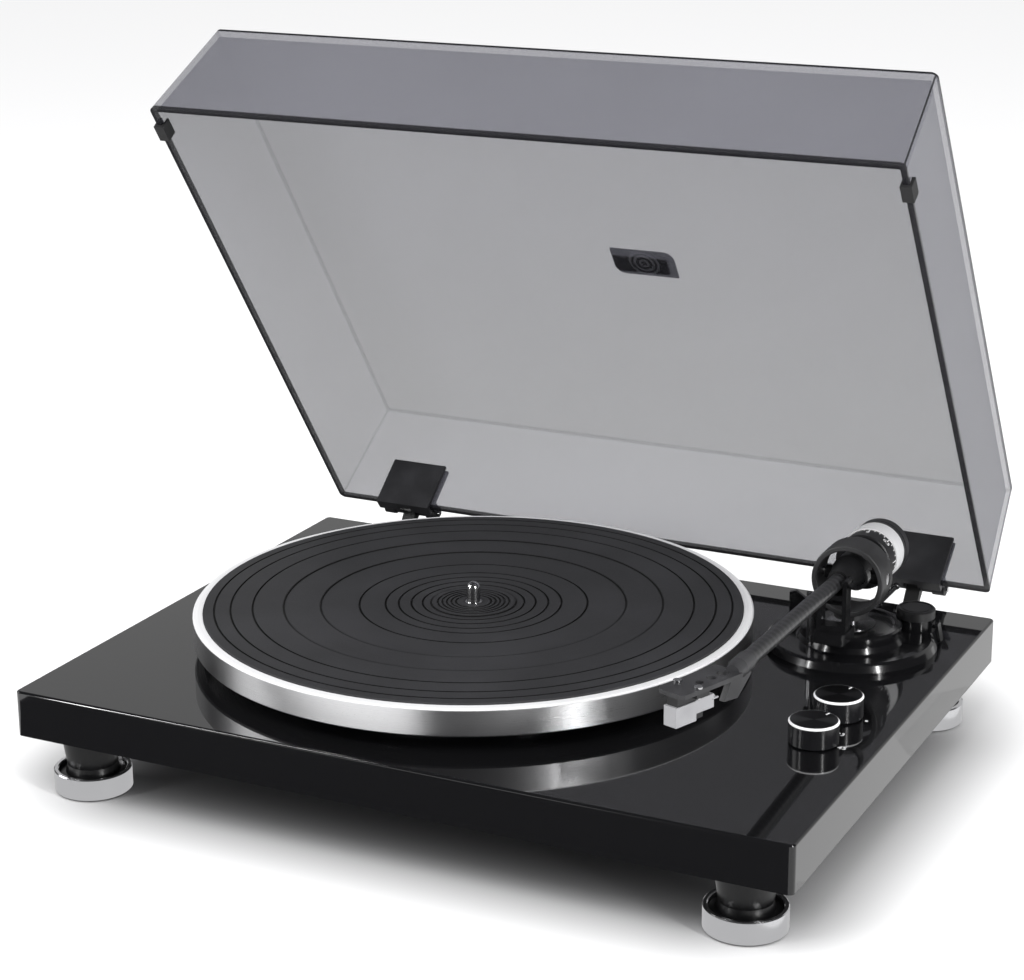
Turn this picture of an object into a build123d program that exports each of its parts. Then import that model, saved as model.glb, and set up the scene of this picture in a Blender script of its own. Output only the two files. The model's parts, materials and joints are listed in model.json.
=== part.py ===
from build123d import *
from math import atan2, cos, degrees, radians, sin, sqrt
import os

# Record player, in millimetres. While it is built, z = 0 is the plinth's top and x = y = 0 is its middle.
# +X is right, +Y is back, +Z is up. At the end everything moves so that z = 0 is under the feet.

# Plinth
plinth_width = 420.0
plinth_depth = 316.0
plinth_thickness = 24.3
plinth_corner_radius = 3.0
plinth_edge_radius = 1.2
bay_width = 352.0
bay_depth = 222.0
bay_centre_x = 18.0
bay_centre_y = 6.0
deck_skin = 5.0
socket_bay_width = 92.0
rear_wall = 8.0
cover_thickness = 2.0
cover_lip = 7.0
cover_gap = 0.3
cover_screw_radius = 1.5
cover_screw_head_radius = 3.0
cover_screw_length = 9.0

# Feet
foot_inset_x = 30.0
foot_inset_y = 22.0
foot_drop = 32.0
foot_stem_radius = 14.0
foot_ring_radius = 20.0
foot_ring_wall = 2.5
foot_ring_height = 11.5
foot_pad_height = 1.6
foot_pad_radius = 15.0
foot_screw_radius = 2.0
foot_screw_length = 18.0
foot_screw_head_radius = 4.0

# Platter, mat and spindle
platter_x = -30.7
platter_y = 4.9
platter_radius = 148.3
platter_top = 22.2
platter_skirt_height = 14.6
platter_skirt_wall = 5.0
platter_web = 3.5
drive_rim_radius = 88.0
drive_rim_wall = 3.0
mat_radius = 142.8
mat_recess = 1.6
mat_thickness = 2.6
mat_fit = 0.3
mat_groove_radii = [137.0, 128.4, 116.8, 60.5, 46.7, 39.7, 33.0, 27.0]
mat_fine_groove_radii = [19.0, 16.6, 14.2, 11.8, 9.4]
mat_groove_width = 0.9
mat_groove_depth = 0.6
mat_outer_terrace_radius = 100.5
mat_inner_terrace_radius = 81.0
mat_label_terrace_radius = 22.6
mat_terrace_step = 0.4
spindle_radius = 3.55
spindle_shaft_radius = 4.5
spindle_tip = 34.0
spindle_bottom = -16.5
hub_radius = 13.0
hub_drop = 9.0
running_fit = 0.05
bush_radius = 8.0
bush_flange_radius = 13.0
bush_flange_height = 2.0
bush_floor = 1.5
thrust_ball_radius = 2.0

# Motor, pulley and belt
motor_angle = 136.0
motor_distance = 116.0
motor_radius = 17.0
motor_height = 15.0
motor_plate_radius = 24.0
motor_plate_thickness = 1.5
motor_shaft_radius = 1.0
motor_screw_radius = 1.5
motor_screw_distance = 20.5
pulley_radius = 6.2
pulley_flange_radius = 7.6
pulley_flange = 0.8
belt_width = 4.0
belt_thickness = 0.6
belt_gap = 0.25
belt_bottom = 11.2

# Circuit board and switches
board_width = 84.0
board_depth = 46.0
board_thickness = 1.6
board_x = 62.0
board_y = -66.0
board_post_height = 6.0
board_post_radius = 3.0
board_screw_radius = 1.2
board_screw_head_radius = 2.4
control_chip = (-17.0, -1.0, 14.0, 10.0, 1.8)
board_plug = (28.0, -2.0, 12.0, 16.0, 5.0)
capacitor_count = 4
capacitor_start = -2.0
capacitor_pitch = 6.5
capacitor_row = 12.0
capacitor_radius = 2.5
capacitor_height = 6.0
knob_x = 178.5
knob_front_y = -45.6
knob_back_y = -9.7
knob_radius = 12.4
knob_height = 11.9
knob_gap = 0.6
knob_cap_height = 1.1
knob_cap_chamfer = 0.7
knob_skirt_step = 0.35
switch_shaft_radius = 3.0
switch_bush_radius = 4.4
switch_body_width = 18.0
switch_body_height = 12.0
switch_travel_fit = 0.06

# Rear sockets
socket_plate_width = 84.0
socket_plate_height = 16.0
socket_plate_thickness = 1.5
socket_x = -92.0
phono_pitch = 14.0
phono_radius = 4.15
phono_length = 9.5
phono_hole_radius = 1.6
phono_hole_depth = 8.0
phono_flange_radius = 5.6
phono_flange = 1.0
inlet_radius = 5.0
inlet_hole_radius = 2.75
inlet_pin_radius = 1.0
inlet_offset = 28.0
inlet_length = 12.0

# Arm base
pivot_x = 152.2
pivot_y = 85.0
base_radius = 45.5
base_shoulder_radius = 43.0
base_shoulder = 2.0
base_height = 6.5
base_inset = 38.5
tier_radius = 27.0
tier_height = 14.0
housing_radius = 13.0
housing_bottom = -20.0
bearing_radius = 9.0
bearing_height = 5.0
swing_shaft_radius = 4.0

# Arm, along its own axis from the pivot
arm_height = 43.4
arm_yaw = 1.2
arm_tilt = 2.3
tilt_axis_height = 40.0
ring_centre_height = 39.0
ring_radius = 19.5
ring_wall = 3.0
ring_front = 10.0
ring_back = 8.0
ring_foot_radius = 9.0
ring_foot_height = 4.0
ring_rim_fillet = 0.8
pivot_screw_radius = 2.0
pivot_screw_head_radius = 3.2
pivot_screw_head = 0.8
pivot_tip_depth = 3.0
hub_front = 26.0
hub_mouth_radius = 5.7
hub_body_radius = 9.0
hub_back = 6.0
hub_arm_radius = 3.6
hub_arm_reach = 14.2
tube_radius = 4.2
tube_wall = 0.8
tube_end = 172.0
tube_socket = 9.0
stub_radius = 4.0
stub_grip = 5.0
weight_drop = 1.3
weight_start = 16.5
dial_width = 12.0
dial_radius = 14.9
dial_floor = 2.0
dial_wall = 2.4
band_width = 12.8
band_wall = 3.0
weight_radius = 15.4
weight_end_width = 10.3
weight_groove_place = 3.4
weight_groove_width = 0.9
weight_groove_depth = 0.7
weight_gap = 0.4
weight_bush_radius = 9.0
weight_recess_radius = 12.0
weight_recess = 8.0

# Headshell and cartridge, along the headshell's axis from the tube's end
shell_offset = 20.7
shell_pitch = 2.0
shell_start = 8.0
shell_length = 49.5
shell_width = 16.8
shell_top = 0.8
shell_thickness = 2.2
shell_corner = 2.0
shell_hole_places = [14.5, 22.4, 30.5]
shell_hole_radii = [3.0, 2.5, 2.0]
shell_hole_shift = 1.8
shell_screw_place = 36.5
shell_screw_pitch = 12.7
shell_screw_radius = 1.3
shell_screw_head_radius = 2.1
shell_screw_head = 0.9
collar_radius = 5.0
collar_back = 8.0
collar_front = 11.0
neck_width = 3.2
neck_drop = 14.0
neck_front = 13.0
cartridge_mount_height = 5.2
cartridge_width = 7.6
cartridge_height = 9.7
cartridge_front_length = 13.7
cartridge_tail_length = 12.6
cartridge_tail_height = 6.6
cartridge_front = 48.5
cartridge_pin_radius = 0.5
cartridge_pin_length = 3.0
mount_ear_edge = 1.85
mount_ear_depth = 3.0
mount_ear_height = 2.0
shell_screw_reach = 3.0
stylus_drop = 2.0
stylus_half = 3.2
stylus_length = 5.0
stylus_height = 2.6
needle_radius = 0.45

# Armrest, cue lift, lever, stop fin, anti-skate knob
rest_y = 54.0
rest_width = 15.6
rest_depth = 8.0
rest_prong = 2.2
rest_bracket_width = 17.0
rest_bracket_front = 8.0
rest_bracket_back = 9.5
rest_bracket_top = 20.0
rest_clearance = 0.3
rest_outer_rise = 2.0
clip_pin_radius = 1.0
clip_thickness = 1.4
clip_radius = 6.2
clip_open = 140.0
clip_depth = 5.0
cue_angle = 32.0
cue_radius = 25.0
cue_arc_width = 2.6
cue_arc_height = 2.0
cue_arc_start = -6.0
cue_arc_end = 44.0
cue_top = 33.5
cue_post_radius = 1.6
cue_housing_radius = 3.6
cue_housing_top = 24.0
lever_heading = 28.6
lever_x = 154.9
lever_y = 115.2
lever_height = 11.5
lever_rise = 30.0
lever_length = 18.5
lever_radius = 1.4
lever_ball_radius = 2.0
lever_ear_gap = 3.4
lock_pin_x = 191.5
lock_y = 109.6
lock_height = 8.6
lock_length = 11.0
lock_width = 5.0
lock_thickness = 1.8
lock_lean = 12.0
fin_radius = 39.5
fin_angle = 149.0
fin_width = 15.0
fin_thickness = 2.4
fin_top = 20.0
skate_x = 179.6
skate_y = 110.8
skate_boss_radius = 9.4
skate_boss_height = 5.6
skate_knob_radius = 10.3
skate_knob_height = 5.2
skate_dish_radius = 8.6
skate_dish_depth = 0.5
skate_ring_radius = 7.2
skate_post_radius = 2.0

# Cover and hinges. The cover's own frame is the closed one, with y = 0 at the rear rim and z = 0 at the rim.
cover_angle = 54.96
lid_width = 409.6
lid_depth = 325.6
lid_rear_height = 68.2
lid_wall = 3.0
lid_side_taper = 4.7
lid_front_lean = 6.5
lid_rear_lean = 4.6
lid_corner_radius = 3.5
lid_rim_y = 165.8
lid_rim_z = 1.95
hinge_y = 174.7
hinge_z = 6.6
hinge_x = 159.5
clip_plate_width = 35.0
clip_plate_height = 29.0
clip_plate_thickness = 2.0
clip_slot_fit = 0.15
clip_web = 2.4
knuckle_radius = 4.0
knuckle_gap = 0.3
hinge_pin_radius = 1.75
hinge_pin_overhang = 1.5
bracket_width = 33.0
bracket_knuckle = 8.0
bracket_plate_thickness = 2.5
bracket_drop = 18.0
bracket_screw_radius = 1.5
bracket_screw_head_radius = 3.0
washer_radius = 3.2
bumper_length = 10.0
bumper_height = 7.0
bumper_wall = 1.4
bumper_sink = 1.6
bumper_back = 303.0
badge_width = 37.0
badge_depth = 19.0
badge_thickness = 0.8
badge_x = 13.3
badge_y = 165.0
badge_corner_radius = 6.0
badge_ring_radii = [9.0, 6.2, 3.0]
badge_ring_width = 1.4
badge_ring_height = 0.3

parts = {}
case_screws = []
centred = (Align.CENTER, Align.CENTER, Align.MIN)


def rod(radius, low, high, x=0.0, y=0.0):
    return Pos(x, y, low) * Cylinder(radius, high - low, align=centred)


def block(x0, x1, y0, y1, z0, z1):
    return Pos((x0 + x1) / 2, (y0 + y1) / 2, (z0 + z1) / 2) * Box(x1 - x0, y1 - y0, z1 - z0)


def pipe(outer, inner, low, high, x=0.0, y=0.0):
    return rod(outer, low, high, x, y) - rod(inner, low, high, x, y)


def turned(points, x=0.0, y=0.0):
    # A solid of revolution about Z from (radius, height) points
    outline = Polyline(*[(r, 0, z) for r, z in points], close=True)
    return Pos(x, y, 0) * revolve(make_face(outline), Axis.Z)


def rod_x(radius, x0, x1, y=0.0, z=0.0):
    return Pos((x0 + x1) / 2, y, z) * Rot(0, 90, 0) * Cylinder(radius, x1 - x0)


def rod_y(radius, y0, y1, x=0.0, z=0.0):
    return Pos(x, (y0 + y1) / 2, z) * Rot(90, 0, 0) * Cylinder(radius, y1 - y0)


def group(solids):
    return Compound(children=list(solids))


def only(shape):
    # A Part that holds one solid
    return shape.solids()[0]


# Places that several pieces share
plinth_bottom = -plinth_thickness
floor = plinth_bottom - foot_drop
bay_ceiling = -deck_skin
bay_left = bay_centre_x - bay_width / 2
bay_right = bay_centre_x + bay_width / 2
bay_front = bay_centre_y - bay_depth / 2
bay_back = bay_centre_y + bay_depth / 2
plinth_rear = plinth_depth / 2
feet = []
for side_x in (-1, 1):
    for side_y in (-1, 1):
        feet.append((side_x * (plinth_width / 2 - foot_inset_x), side_y * (plinth_depth / 2 - foot_inset_y)))
knob_places = {"front": knob_front_y, "back": knob_back_y}
motor_x = platter_x + motor_distance * cos(radians(motor_angle))
motor_y = platter_y + motor_distance * sin(radians(motor_angle))
cover_inner = plinth_bottom + cover_thickness
cover_edge = [
    (bay_left - cover_lip / 2, bay_front - cover_lip / 2),
    (bay_left - cover_lip / 2, bay_centre_y),
    (bay_left - cover_lip / 2, bay_back + cover_lip / 2),
    (bay_centre_x, bay_front - cover_lip / 2),
    (bay_centre_x + socket_bay_width / 2, bay_back + cover_lip / 2),
    (bay_right + cover_lip / 2, bay_front - cover_lip / 2),
    (bay_right + cover_lip / 2, bay_centre_y),
    (bay_right + cover_lip / 2, bay_back + cover_lip / 2),
]


# Plinth, a slab with a bay routed from below
def make_plinth():
    slab = block(-plinth_width / 2, plinth_width / 2, -plinth_depth / 2, plinth_rear, plinth_bottom, 0)
    slab = fillet(slab.edges().filter_by(Axis.Z), plinth_corner_radius)
    slab = fillet(slab.faces().sort_by(Axis.Z)[-1].edges(), plinth_edge_radius)
    slab -= block(bay_left, bay_right, bay_front, bay_back, plinth_bottom, bay_ceiling)
    lip = cover_lip + cover_gap
    sill = (bay_left - lip, bay_right + lip, bay_front - lip, bay_back + lip)
    slab -= block(*sill, plinth_bottom, cover_inner)
    # A solid boss stays round the spindle bush, and the socket bay runs to the rear wall
    boss = rod(bush_flange_radius + 4.0, cover_inner + 0.5, bay_ceiling, platter_x, platter_y)
    slab += boss
    sockets = (socket_x - socket_bay_width / 2, socket_x + socket_bay_width / 2)
    slab -= block(*sockets, bay_back - 1.0, plinth_rear - rear_wall, cover_inner, bay_ceiling)
    window = (socket_x - socket_plate_width / 2 + 4, socket_x + socket_plate_width / 2 - 4)
    socket_z = plinth_bottom + plinth_thickness / 2
    slab -= block(*window, plinth_rear - rear_wall - 1, plinth_rear + 1, socket_z - 5.8, socket_z + 5.8)
    slab -= block(
        socket_x - socket_plate_width / 2 - 0.1,
        socket_x + socket_plate_width / 2 + 0.1,
        plinth_rear - socket_plate_thickness,
        plinth_rear + 1,
        socket_z - socket_plate_height / 2 - 0.1,
        socket_z + socket_plate_height / 2 + 0.1,
    )
    slab -= rod(bush_radius + 0.1, plinth_bottom, 1, platter_x, platter_y)
    slab -= rod(pulley_flange_radius + 1.0, bay_ceiling - 1, 1, motor_x, motor_y)
    slab -= rod(housing_radius + 0.2, bay_ceiling - 1, 1, pivot_x, pivot_y)
    for y in knob_places.values():
        slab -= rod(switch_bush_radius + 0.1, bay_ceiling - 1, 1, knob_x, y)
    for x, y in feet:
        slab -= rod(foot_screw_radius, plinth_bottom - 1, plinth_bottom + foot_screw_length / 2, x, y)
    for x, y in cover_edge:
        slab -= rod(cover_screw_radius, plinth_bottom - 1, cover_inner + cover_screw_length, x, y)
    for side in (-1, 1):
        for step in (-1, 1):
            place = (side * hinge_x + step * bracket_width / 4, -bracket_drop * 0.6)
            slab -= rod_y(bracket_screw_radius, plinth_rear - 9, plinth_rear + 1, *place)
    return only(slab)


def make_case():
    parts["plinth"] = make_plinth()
    edge = cover_lip
    sheet = (bay_left - edge, bay_right + edge, bay_front - edge, bay_back + edge)
    cover = block(*sheet, plinth_bottom, cover_inner)
    cover = fillet(cover.edges().filter_by(Axis.Z), 2.0)
    for x, y in cover_edge:
        cover -= rod(cover_screw_radius + 0.2, plinth_bottom - 1, cover_inner + 1, x, y)
        cover -= rod(cover_screw_head_radius + 0.2, plinth_bottom - 1, plinth_bottom + 1.2, x, y)
        screw = rod(cover_screw_head_radius, plinth_bottom + 0.1, plinth_bottom + 1.2, x, y)
        screw += rod(cover_screw_radius, plinth_bottom + 1.2, cover_inner + 8.0, x, y)
        case_screws.append(only(screw))
    parts["bottom_cover"] = only(cover)


def make_feet():
    stems = []
    rings = []
    pads = []
    ring_top = floor + foot_pad_height / 2 + foot_ring_height
    inner = foot_ring_radius - foot_ring_wall
    for x, y in feet:
        stem = turned(
            [
                (0, plinth_bottom),
                (foot_stem_radius + 1.5, plinth_bottom),
                (foot_stem_radius + 1.0, plinth_bottom - 3),
                (foot_stem_radius - 1.0, ring_top + 2.5),
                (foot_stem_radius, ring_top - 2.0),
                (inner - 0.1, ring_top - 2.5),
                (inner - 0.1, floor + foot_pad_height),
                (0, floor + foot_pad_height),
            ],
            x,
            y,
        )
        stem -= rod(foot_screw_radius + 0.2, floor, plinth_bottom + 1, x, y)
        stem -= rod(foot_screw_head_radius + 0.2, floor, floor + 6.0, x, y)
        stems.append(only(stem))
        ring = pipe(foot_ring_radius, inner, floor + foot_pad_height / 2, ring_top, x, y)
        rings.append(only(chamfer(ring.edges().filter_by(GeomType.CIRCLE), 0.5)))
        pads.append(only(rod(foot_pad_radius, floor, floor + foot_pad_height, x, y)))
        screw = rod(foot_screw_head_radius, floor + 3.0, floor + 6.0, x, y)
        shank_top = plinth_bottom + foot_screw_length / 2
        case_screws.append(only(screw + rod(foot_screw_radius, floor + 6.0, shank_top, x, y)))
    parts["foot_stems"] = group(stems)
    parts["foot_rings"] = group(rings)
    parts["foot_pads"] = group(pads)


def make_platter():
    web_top = platter_top - mat_recess
    web_bottom = web_top - platter_web
    skirt_bottom = platter_top - platter_skirt_height
    rim_bottom = belt_bottom - 0.6
    inner = platter_radius - platter_skirt_wall
    platter = turned(
        [
            (spindle_shaft_radius, web_top),
            (mat_radius + mat_fit, web_top),
            (mat_radius + mat_fit, platter_top),
            (platter_radius - 0.8, platter_top),
            (platter_radius, platter_top - 0.8),
            (platter_radius, skirt_bottom + 0.8),
            (platter_radius - 0.8, skirt_bottom),
            (inner, skirt_bottom),
            (inner - 1.5, web_bottom),
            (drive_rim_radius, web_bottom),
            (drive_rim_radius, rim_bottom),
            (drive_rim_radius - drive_rim_wall, rim_bottom),
            (drive_rim_radius - drive_rim_wall, web_bottom),
            (hub_radius, web_bottom),
            (hub_radius, web_top - hub_drop),
            (spindle_shaft_radius, web_top - hub_drop),
        ],
        platter_x,
        platter_y,
    )
    parts["platter"] = only(platter)
    parts["slipmat"] = make_mat(web_top)
    tip = spindle_tip - spindle_radius
    shoulder = web_top + mat_thickness - mat_terrace_step
    spindle = rod(spindle_shaft_radius, spindle_bottom, shoulder, platter_x, platter_y)
    spindle += rod(spindle_radius, shoulder, tip, platter_x, platter_y)
    spindle += Pos(platter_x, platter_y, tip) * Sphere(spindle_radius)
    parts["spindle"] = only(spindle)
    bush_bottom = spindle_bottom - running_fit - 2 * thrust_ball_radius - bush_floor
    bore = spindle_shaft_radius + running_fit
    bush = pipe(bush_radius, bore, bush_bottom + bush_floor, 0, platter_x, platter_y)
    bush += rod(bush_radius, bush_bottom, bush_bottom + bush_floor, platter_x, platter_y)
    flange = pipe(bush_flange_radius, bore, 0, bush_flange_height, platter_x, platter_y)
    parts["spindle_bush"] = only(bush + flange)
    ball_z = bush_bottom + bush_floor + thrust_ball_radius
    parts["thrust_ball"] = only(Pos(platter_x, platter_y, ball_z) * Sphere(thrust_ball_radius))


def make_mat(bottom):
    top = bottom + mat_thickness
    mat = rod(mat_radius, bottom, top, platter_x, platter_y)
    # Terraces step down towards the middle, and the label's small disc stands up again
    terraces = [(mat_outer_terrace_radius, 1), (mat_inner_terrace_radius, 2)]
    for radius, steps in terraces:
        mat -= rod(radius, top - steps * mat_terrace_step, top + 1, platter_x, platter_y)
    low = top - 2 * mat_terrace_step
    mat += rod(mat_label_terrace_radius, low, low + mat_terrace_step, platter_x, platter_y)
    mat -= rod(spindle_shaft_radius + mat_fit, bottom - 1, top + 1, platter_x, platter_y)
    for radius in mat_groove_radii:
        surface = top if radius > mat_outer_terrace_radius else low
        half = mat_groove_width / 2
        cut = (surface - mat_groove_depth, surface + 0.1)
        mat -= pipe(radius + half, radius - half, *cut, platter_x, platter_y)
    for radius in mat_fine_groove_radii:
        surface = low + mat_terrace_step
        half = mat_groove_width / 3
        cut = (surface - mat_groove_depth / 2, surface + 0.1)
        mat -= pipe(radius + half, radius - half, *cut, platter_x, platter_y)
    return only(mat)


def belt_loop(rim, wheel, distance, low, high):
    # The outline of a tight loop round two wheels, as one filled face
    spread = degrees(atan2(sqrt(distance**2 - (rim - wheel) ** 2), rim - wheel))
    big = [Vector(rim * cos(radians(a)), rim * sin(radians(a))) for a in (spread, 180, -spread)]
    end = distance + wheel
    small = [
        Vector(distance + wheel * cos(radians(-spread)), wheel * sin(radians(-spread))),
        Vector(end, 0),
        Vector(distance + wheel * cos(radians(spread)), wheel * sin(radians(spread))),
    ]
    outline = Curve() + [
        ThreePointArc(*big),
        Line(big[2], small[0]),
        ThreePointArc(*small),
        Line(small[2], big[0]),
    ]
    return Pos(0, 0, low) * extrude(make_face(outline), high - low)


def make_drive():
    plate_top = bay_ceiling - 0.05
    plate_low = plate_top - motor_plate_thickness
    shaft_top = belt_bottom + belt_width + 0.8
    plate = rod(motor_plate_radius, plate_low, plate_top, motor_x, motor_y)
    plate -= rod(pulley_flange_radius, plate_low - 1, plate_top + 1, motor_x, motor_y)
    can = rod(motor_radius, plate_low - motor_height, plate_low, motor_x, motor_y)
    can_middle = plate_low - motor_height / 2
    can -= rod(motor_shaft_radius + running_fit, can_middle, plate_low + 1, motor_x, motor_y)
    for turn in (0, 120, 240):
        x = motor_x + motor_screw_distance * cos(radians(turn))
        y = motor_y + motor_screw_distance * sin(radians(turn))
        plate -= rod(motor_screw_radius + 0.15, plate_low - 1, plate_top + 1, x, y)
        parts["plinth"] = parts["plinth"] - rod(motor_screw_radius, plate_top, -1.5, x, y)
        screw = rod(motor_screw_radius * 2, plate_low - 1.2, plate_low, x, y)
        case_screws.append(only(screw + rod(motor_screw_radius, plate_low, -2.0, x, y)))
    parts["motor_plate"] = only(plate)
    parts["motor"] = only(can)
    parts["motor_shaft"] = only(rod(motor_shaft_radius, can_middle + 0.2, shaft_top, motor_x, motor_y))
    flange_low = belt_bottom - pulley_flange - 0.3
    pulley = pipe(pulley_radius, motor_shaft_radius, -1.5, shaft_top - 0.1, motor_x, motor_y)
    flange = (flange_low, flange_low + pulley_flange)
    pulley += pipe(pulley_flange_radius, motor_shaft_radius, *flange, motor_x, motor_y)
    parts["motor_pulley"] = only(pulley)
    inner = belt_loop(drive_rim_radius + belt_gap, pulley_radius + belt_gap, motor_distance, 0, belt_width)
    wide = belt_gap + belt_thickness
    outer = belt_loop(drive_rim_radius + wide, pulley_radius + wide, motor_distance, 0, belt_width)
    loop = Pos(platter_x, platter_y, belt_bottom) * Rot(0, 0, motor_angle) * (outer - inner)
    parts["drive_belt"] = only(loop)


def make_board():
    top = bay_ceiling - board_post_height
    low = top - board_thickness
    half_x = board_width / 2
    half_y = board_depth / 2
    board = block(board_x - half_x, board_x + half_x, board_y - half_y, board_y + half_y, low, top)
    posts = []
    for side_x in (-1, 1):
        for side_y in (-1, 1):
            x = board_x + side_x * (half_x - 4)
            y = board_y + side_y * (half_y - 4)
            board -= rod(board_screw_radius + 0.2, low - 1, top + 1, x, y)
            posts.append(only(pipe(board_post_radius, board_screw_radius, top, bay_ceiling, x, y)))
            screw = rod(board_screw_head_radius, low - 1.2, low, x, y)
            case_screws.append(only(screw + rod(board_screw_radius - 0.05, low, top + 4, x, y)))
    parts["circuit_board"] = only(board)
    parts["board_posts"] = group(posts)
    chips = []
    for x, y, wide, deep, tall in (control_chip, board_plug):
        middle = Pos(board_x + x, board_y + y, low - tall / 2)
        chips.append(only(middle * Box(wide, deep, tall)))
    for step in range(capacitor_count):
        x = board_x + capacitor_start + capacitor_pitch * step
        chips.append(only(rod(capacitor_radius, low - capacitor_height, low, x, board_y + capacitor_row)))
    parts["board_components"] = group(chips)


def make_knobs():
    cap_low = knob_height - knob_cap_height
    body_top = bay_ceiling - 0.05
    bodies = []
    for name, y in knob_places.items():
        knob = turned(
            [
                (switch_shaft_radius, knob_gap),
                (knob_radius - knob_skirt_step, knob_gap),
                (knob_radius, knob_gap + knob_skirt_step),
                (knob_radius, cap_low),
                (0, cap_low),
                (0, cap_low - 2.0),
                (switch_shaft_radius, cap_low - 2.0),
            ],
            knob_x,
            y,
        )
        cap = turned(
            [
                (0, cap_low),
                (knob_radius, cap_low),
                (knob_radius, knob_height - knob_cap_chamfer),
                (knob_radius - knob_cap_chamfer, knob_height),
                (0, knob_height),
            ],
            knob_x,
            y,
        )
        shaft = rod(switch_shaft_radius, body_top - switch_body_height / 2, cap_low - 2.0, knob_x, y)
        half = switch_body_width / 2
        body_low = body_top - switch_body_height
        body = block(knob_x - half, knob_x + half, y - half, y + half, body_low, body_top)
        body += rod(switch_bush_radius, body_top, -0.2, knob_x, y)
        bore = switch_shaft_radius + switch_travel_fit
        body -= rod(bore, body_top - switch_body_height / 2 - 0.3, 1, knob_x, y)
        parts[name + "_knob"] = only(knob + shaft)
        parts[name + "_knob_cap"] = only(cap)
        bodies.append(only(body))
    parts["switch_bodies"] = group(bodies)


def make_sockets():
    z = plinth_bottom + plinth_thickness / 2
    face = plinth_rear
    back = face - socket_plate_thickness
    left = socket_x - socket_plate_width / 2
    right = socket_x + socket_plate_width / 2
    low = z - socket_plate_height / 2
    plate = block(left, right, back, face, low, low + socket_plate_height)
    sockets = []
    for step in (-0.5, 0.5):
        x = socket_x + step * phono_pitch
        plate -= rod_y(phono_radius + 0.1, back - 1, face + 1, x, z)
        socket = rod_y(phono_radius, back - 5, face + phono_length, x, z)
        socket += rod_y(phono_flange_radius, face, face + phono_flange, x, z)
        tip = face + phono_length
        socket -= rod_y(phono_hole_radius, tip - phono_hole_depth, tip + 1, x, z)
        sockets.append(only(socket))
    inlet_x = socket_x + inlet_offset
    plate -= rod_y(inlet_radius + 0.1, back - 1, face + 1, inlet_x, z)
    inlet = rod_y(inlet_radius, back - inlet_length, face + 0.6, inlet_x, z)
    inlet -= rod_y(inlet_hole_radius, back - inlet_length + 2, face + 1, inlet_x, z)
    inlet += rod_y(inlet_pin_radius, back - inlet_length + 1, face - 1, inlet_x, z)
    for x in (left + 4, right - 4):
        plate -= rod_y(1.3, back - 1, face + 1, x, z)
        parts["plinth"] = parts["plinth"] - rod_y(1.2, back - 6, face, x, z)
        screw = rod_y(2.4, face, face + 1.2, x, z) + rod_y(1.15, back - 5, face, x, z)
        case_screws.append(only(screw))
    parts["socket_plate"] = only(plate)
    parts["phono_sockets"] = group(sockets)
    parts["power_inlet"] = only(inlet)


def at_pivot(radius, turn):
    # A point at this radius from the arm's pivot, turned from the front towards the platter
    return (pivot_x - radius * sin(radians(turn)), pivot_y - radius * cos(radians(turn)))


def arm_axis_height(forward):
    return arm_height + forward * sin(radians(arm_tilt))


def make_arm_base():
    base = turned(
        [
            (housing_radius, 0),
            (base_radius, 0),
            (base_radius, base_shoulder),
            (base_shoulder_radius + 0.8, base_height - 1.2),
            (base_shoulder_radius - 0.6, base_height),
            (base_inset, base_height),
            (base_inset - 1.0, base_height - 0.8),
            (tier_radius + 1.6, base_height - 0.8),
            (tier_radius, base_height + 2.0),
            (tier_radius, tier_height - 1.0),
            (tier_radius - 1.0, tier_height),
            (tier_radius - 4.0, tier_height),
            (tier_radius - 5.0, tier_height - 1.0),
            (housing_radius, tier_height - 1.0),
        ],
        pivot_x,
        pivot_y,
    )
    # A pad carries the anti-skate knob, and a boss carries the lock lever's pin
    pad_top = base_height + skate_boss_height
    base += rod(skate_boss_radius, base_height - 1, pad_top, skate_x, skate_y)
    base -= rod(skate_post_radius + running_fit, 2.0, pad_top + 1, skate_x, skate_y)
    ear_high = lock_height + 2.6
    base += block(lock_pin_x - 7.6, lock_pin_x - 1.6, lock_y - 3, lock_y + 3, base_height - 1, ear_high)
    base -= rod_x(1.05, lock_pin_x - 5, lock_pin_x, lock_y, lock_height)
    cue_x, cue_y = at_pivot(cue_radius, cue_angle)
    base -= rod(cue_housing_radius + 0.05, 3.0, tier_height + 1, cue_x, cue_y)
    heading = Pos(lever_x, lever_y, 0) * Rot(0, 0, -lever_heading)
    ear_out = lever_ear_gap / 2 + 2.0
    for side in (-1, 1):
        near = side * (lever_ear_gap / 2)
        far = side * ear_out
        ear = block(min(near, far), max(near, far), -2.4, 2.4, base_height - 1, lever_height + 2.2)
        base += heading * ear
    base -= heading * rod_x(1.05, -ear_out - 1, ear_out + 1, 0, lever_height)
    parts["arm_base"] = only(base + make_fin())
    housing_top = tier_height - 0.5
    housing = pipe(housing_radius - 0.05, bearing_radius, housing_bottom, housing_top, pivot_x, pivot_y)
    mid = (housing_bottom + housing_top) / 2
    step = pipe(bearing_radius, bearing_radius - 2, mid - 4, mid + 4, pivot_x, pivot_y)
    parts["arm_bearing_housing"] = only(housing + step)
    bearings = []
    for low in (housing_bottom, housing_top - bearing_height):
        hole = swing_shaft_radius + running_fit
        bearings.append(only(pipe(bearing_radius, hole, low, low + bearing_height, pivot_x, pivot_y)))
    parts["arm_bearings"] = group(bearings)


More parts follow.
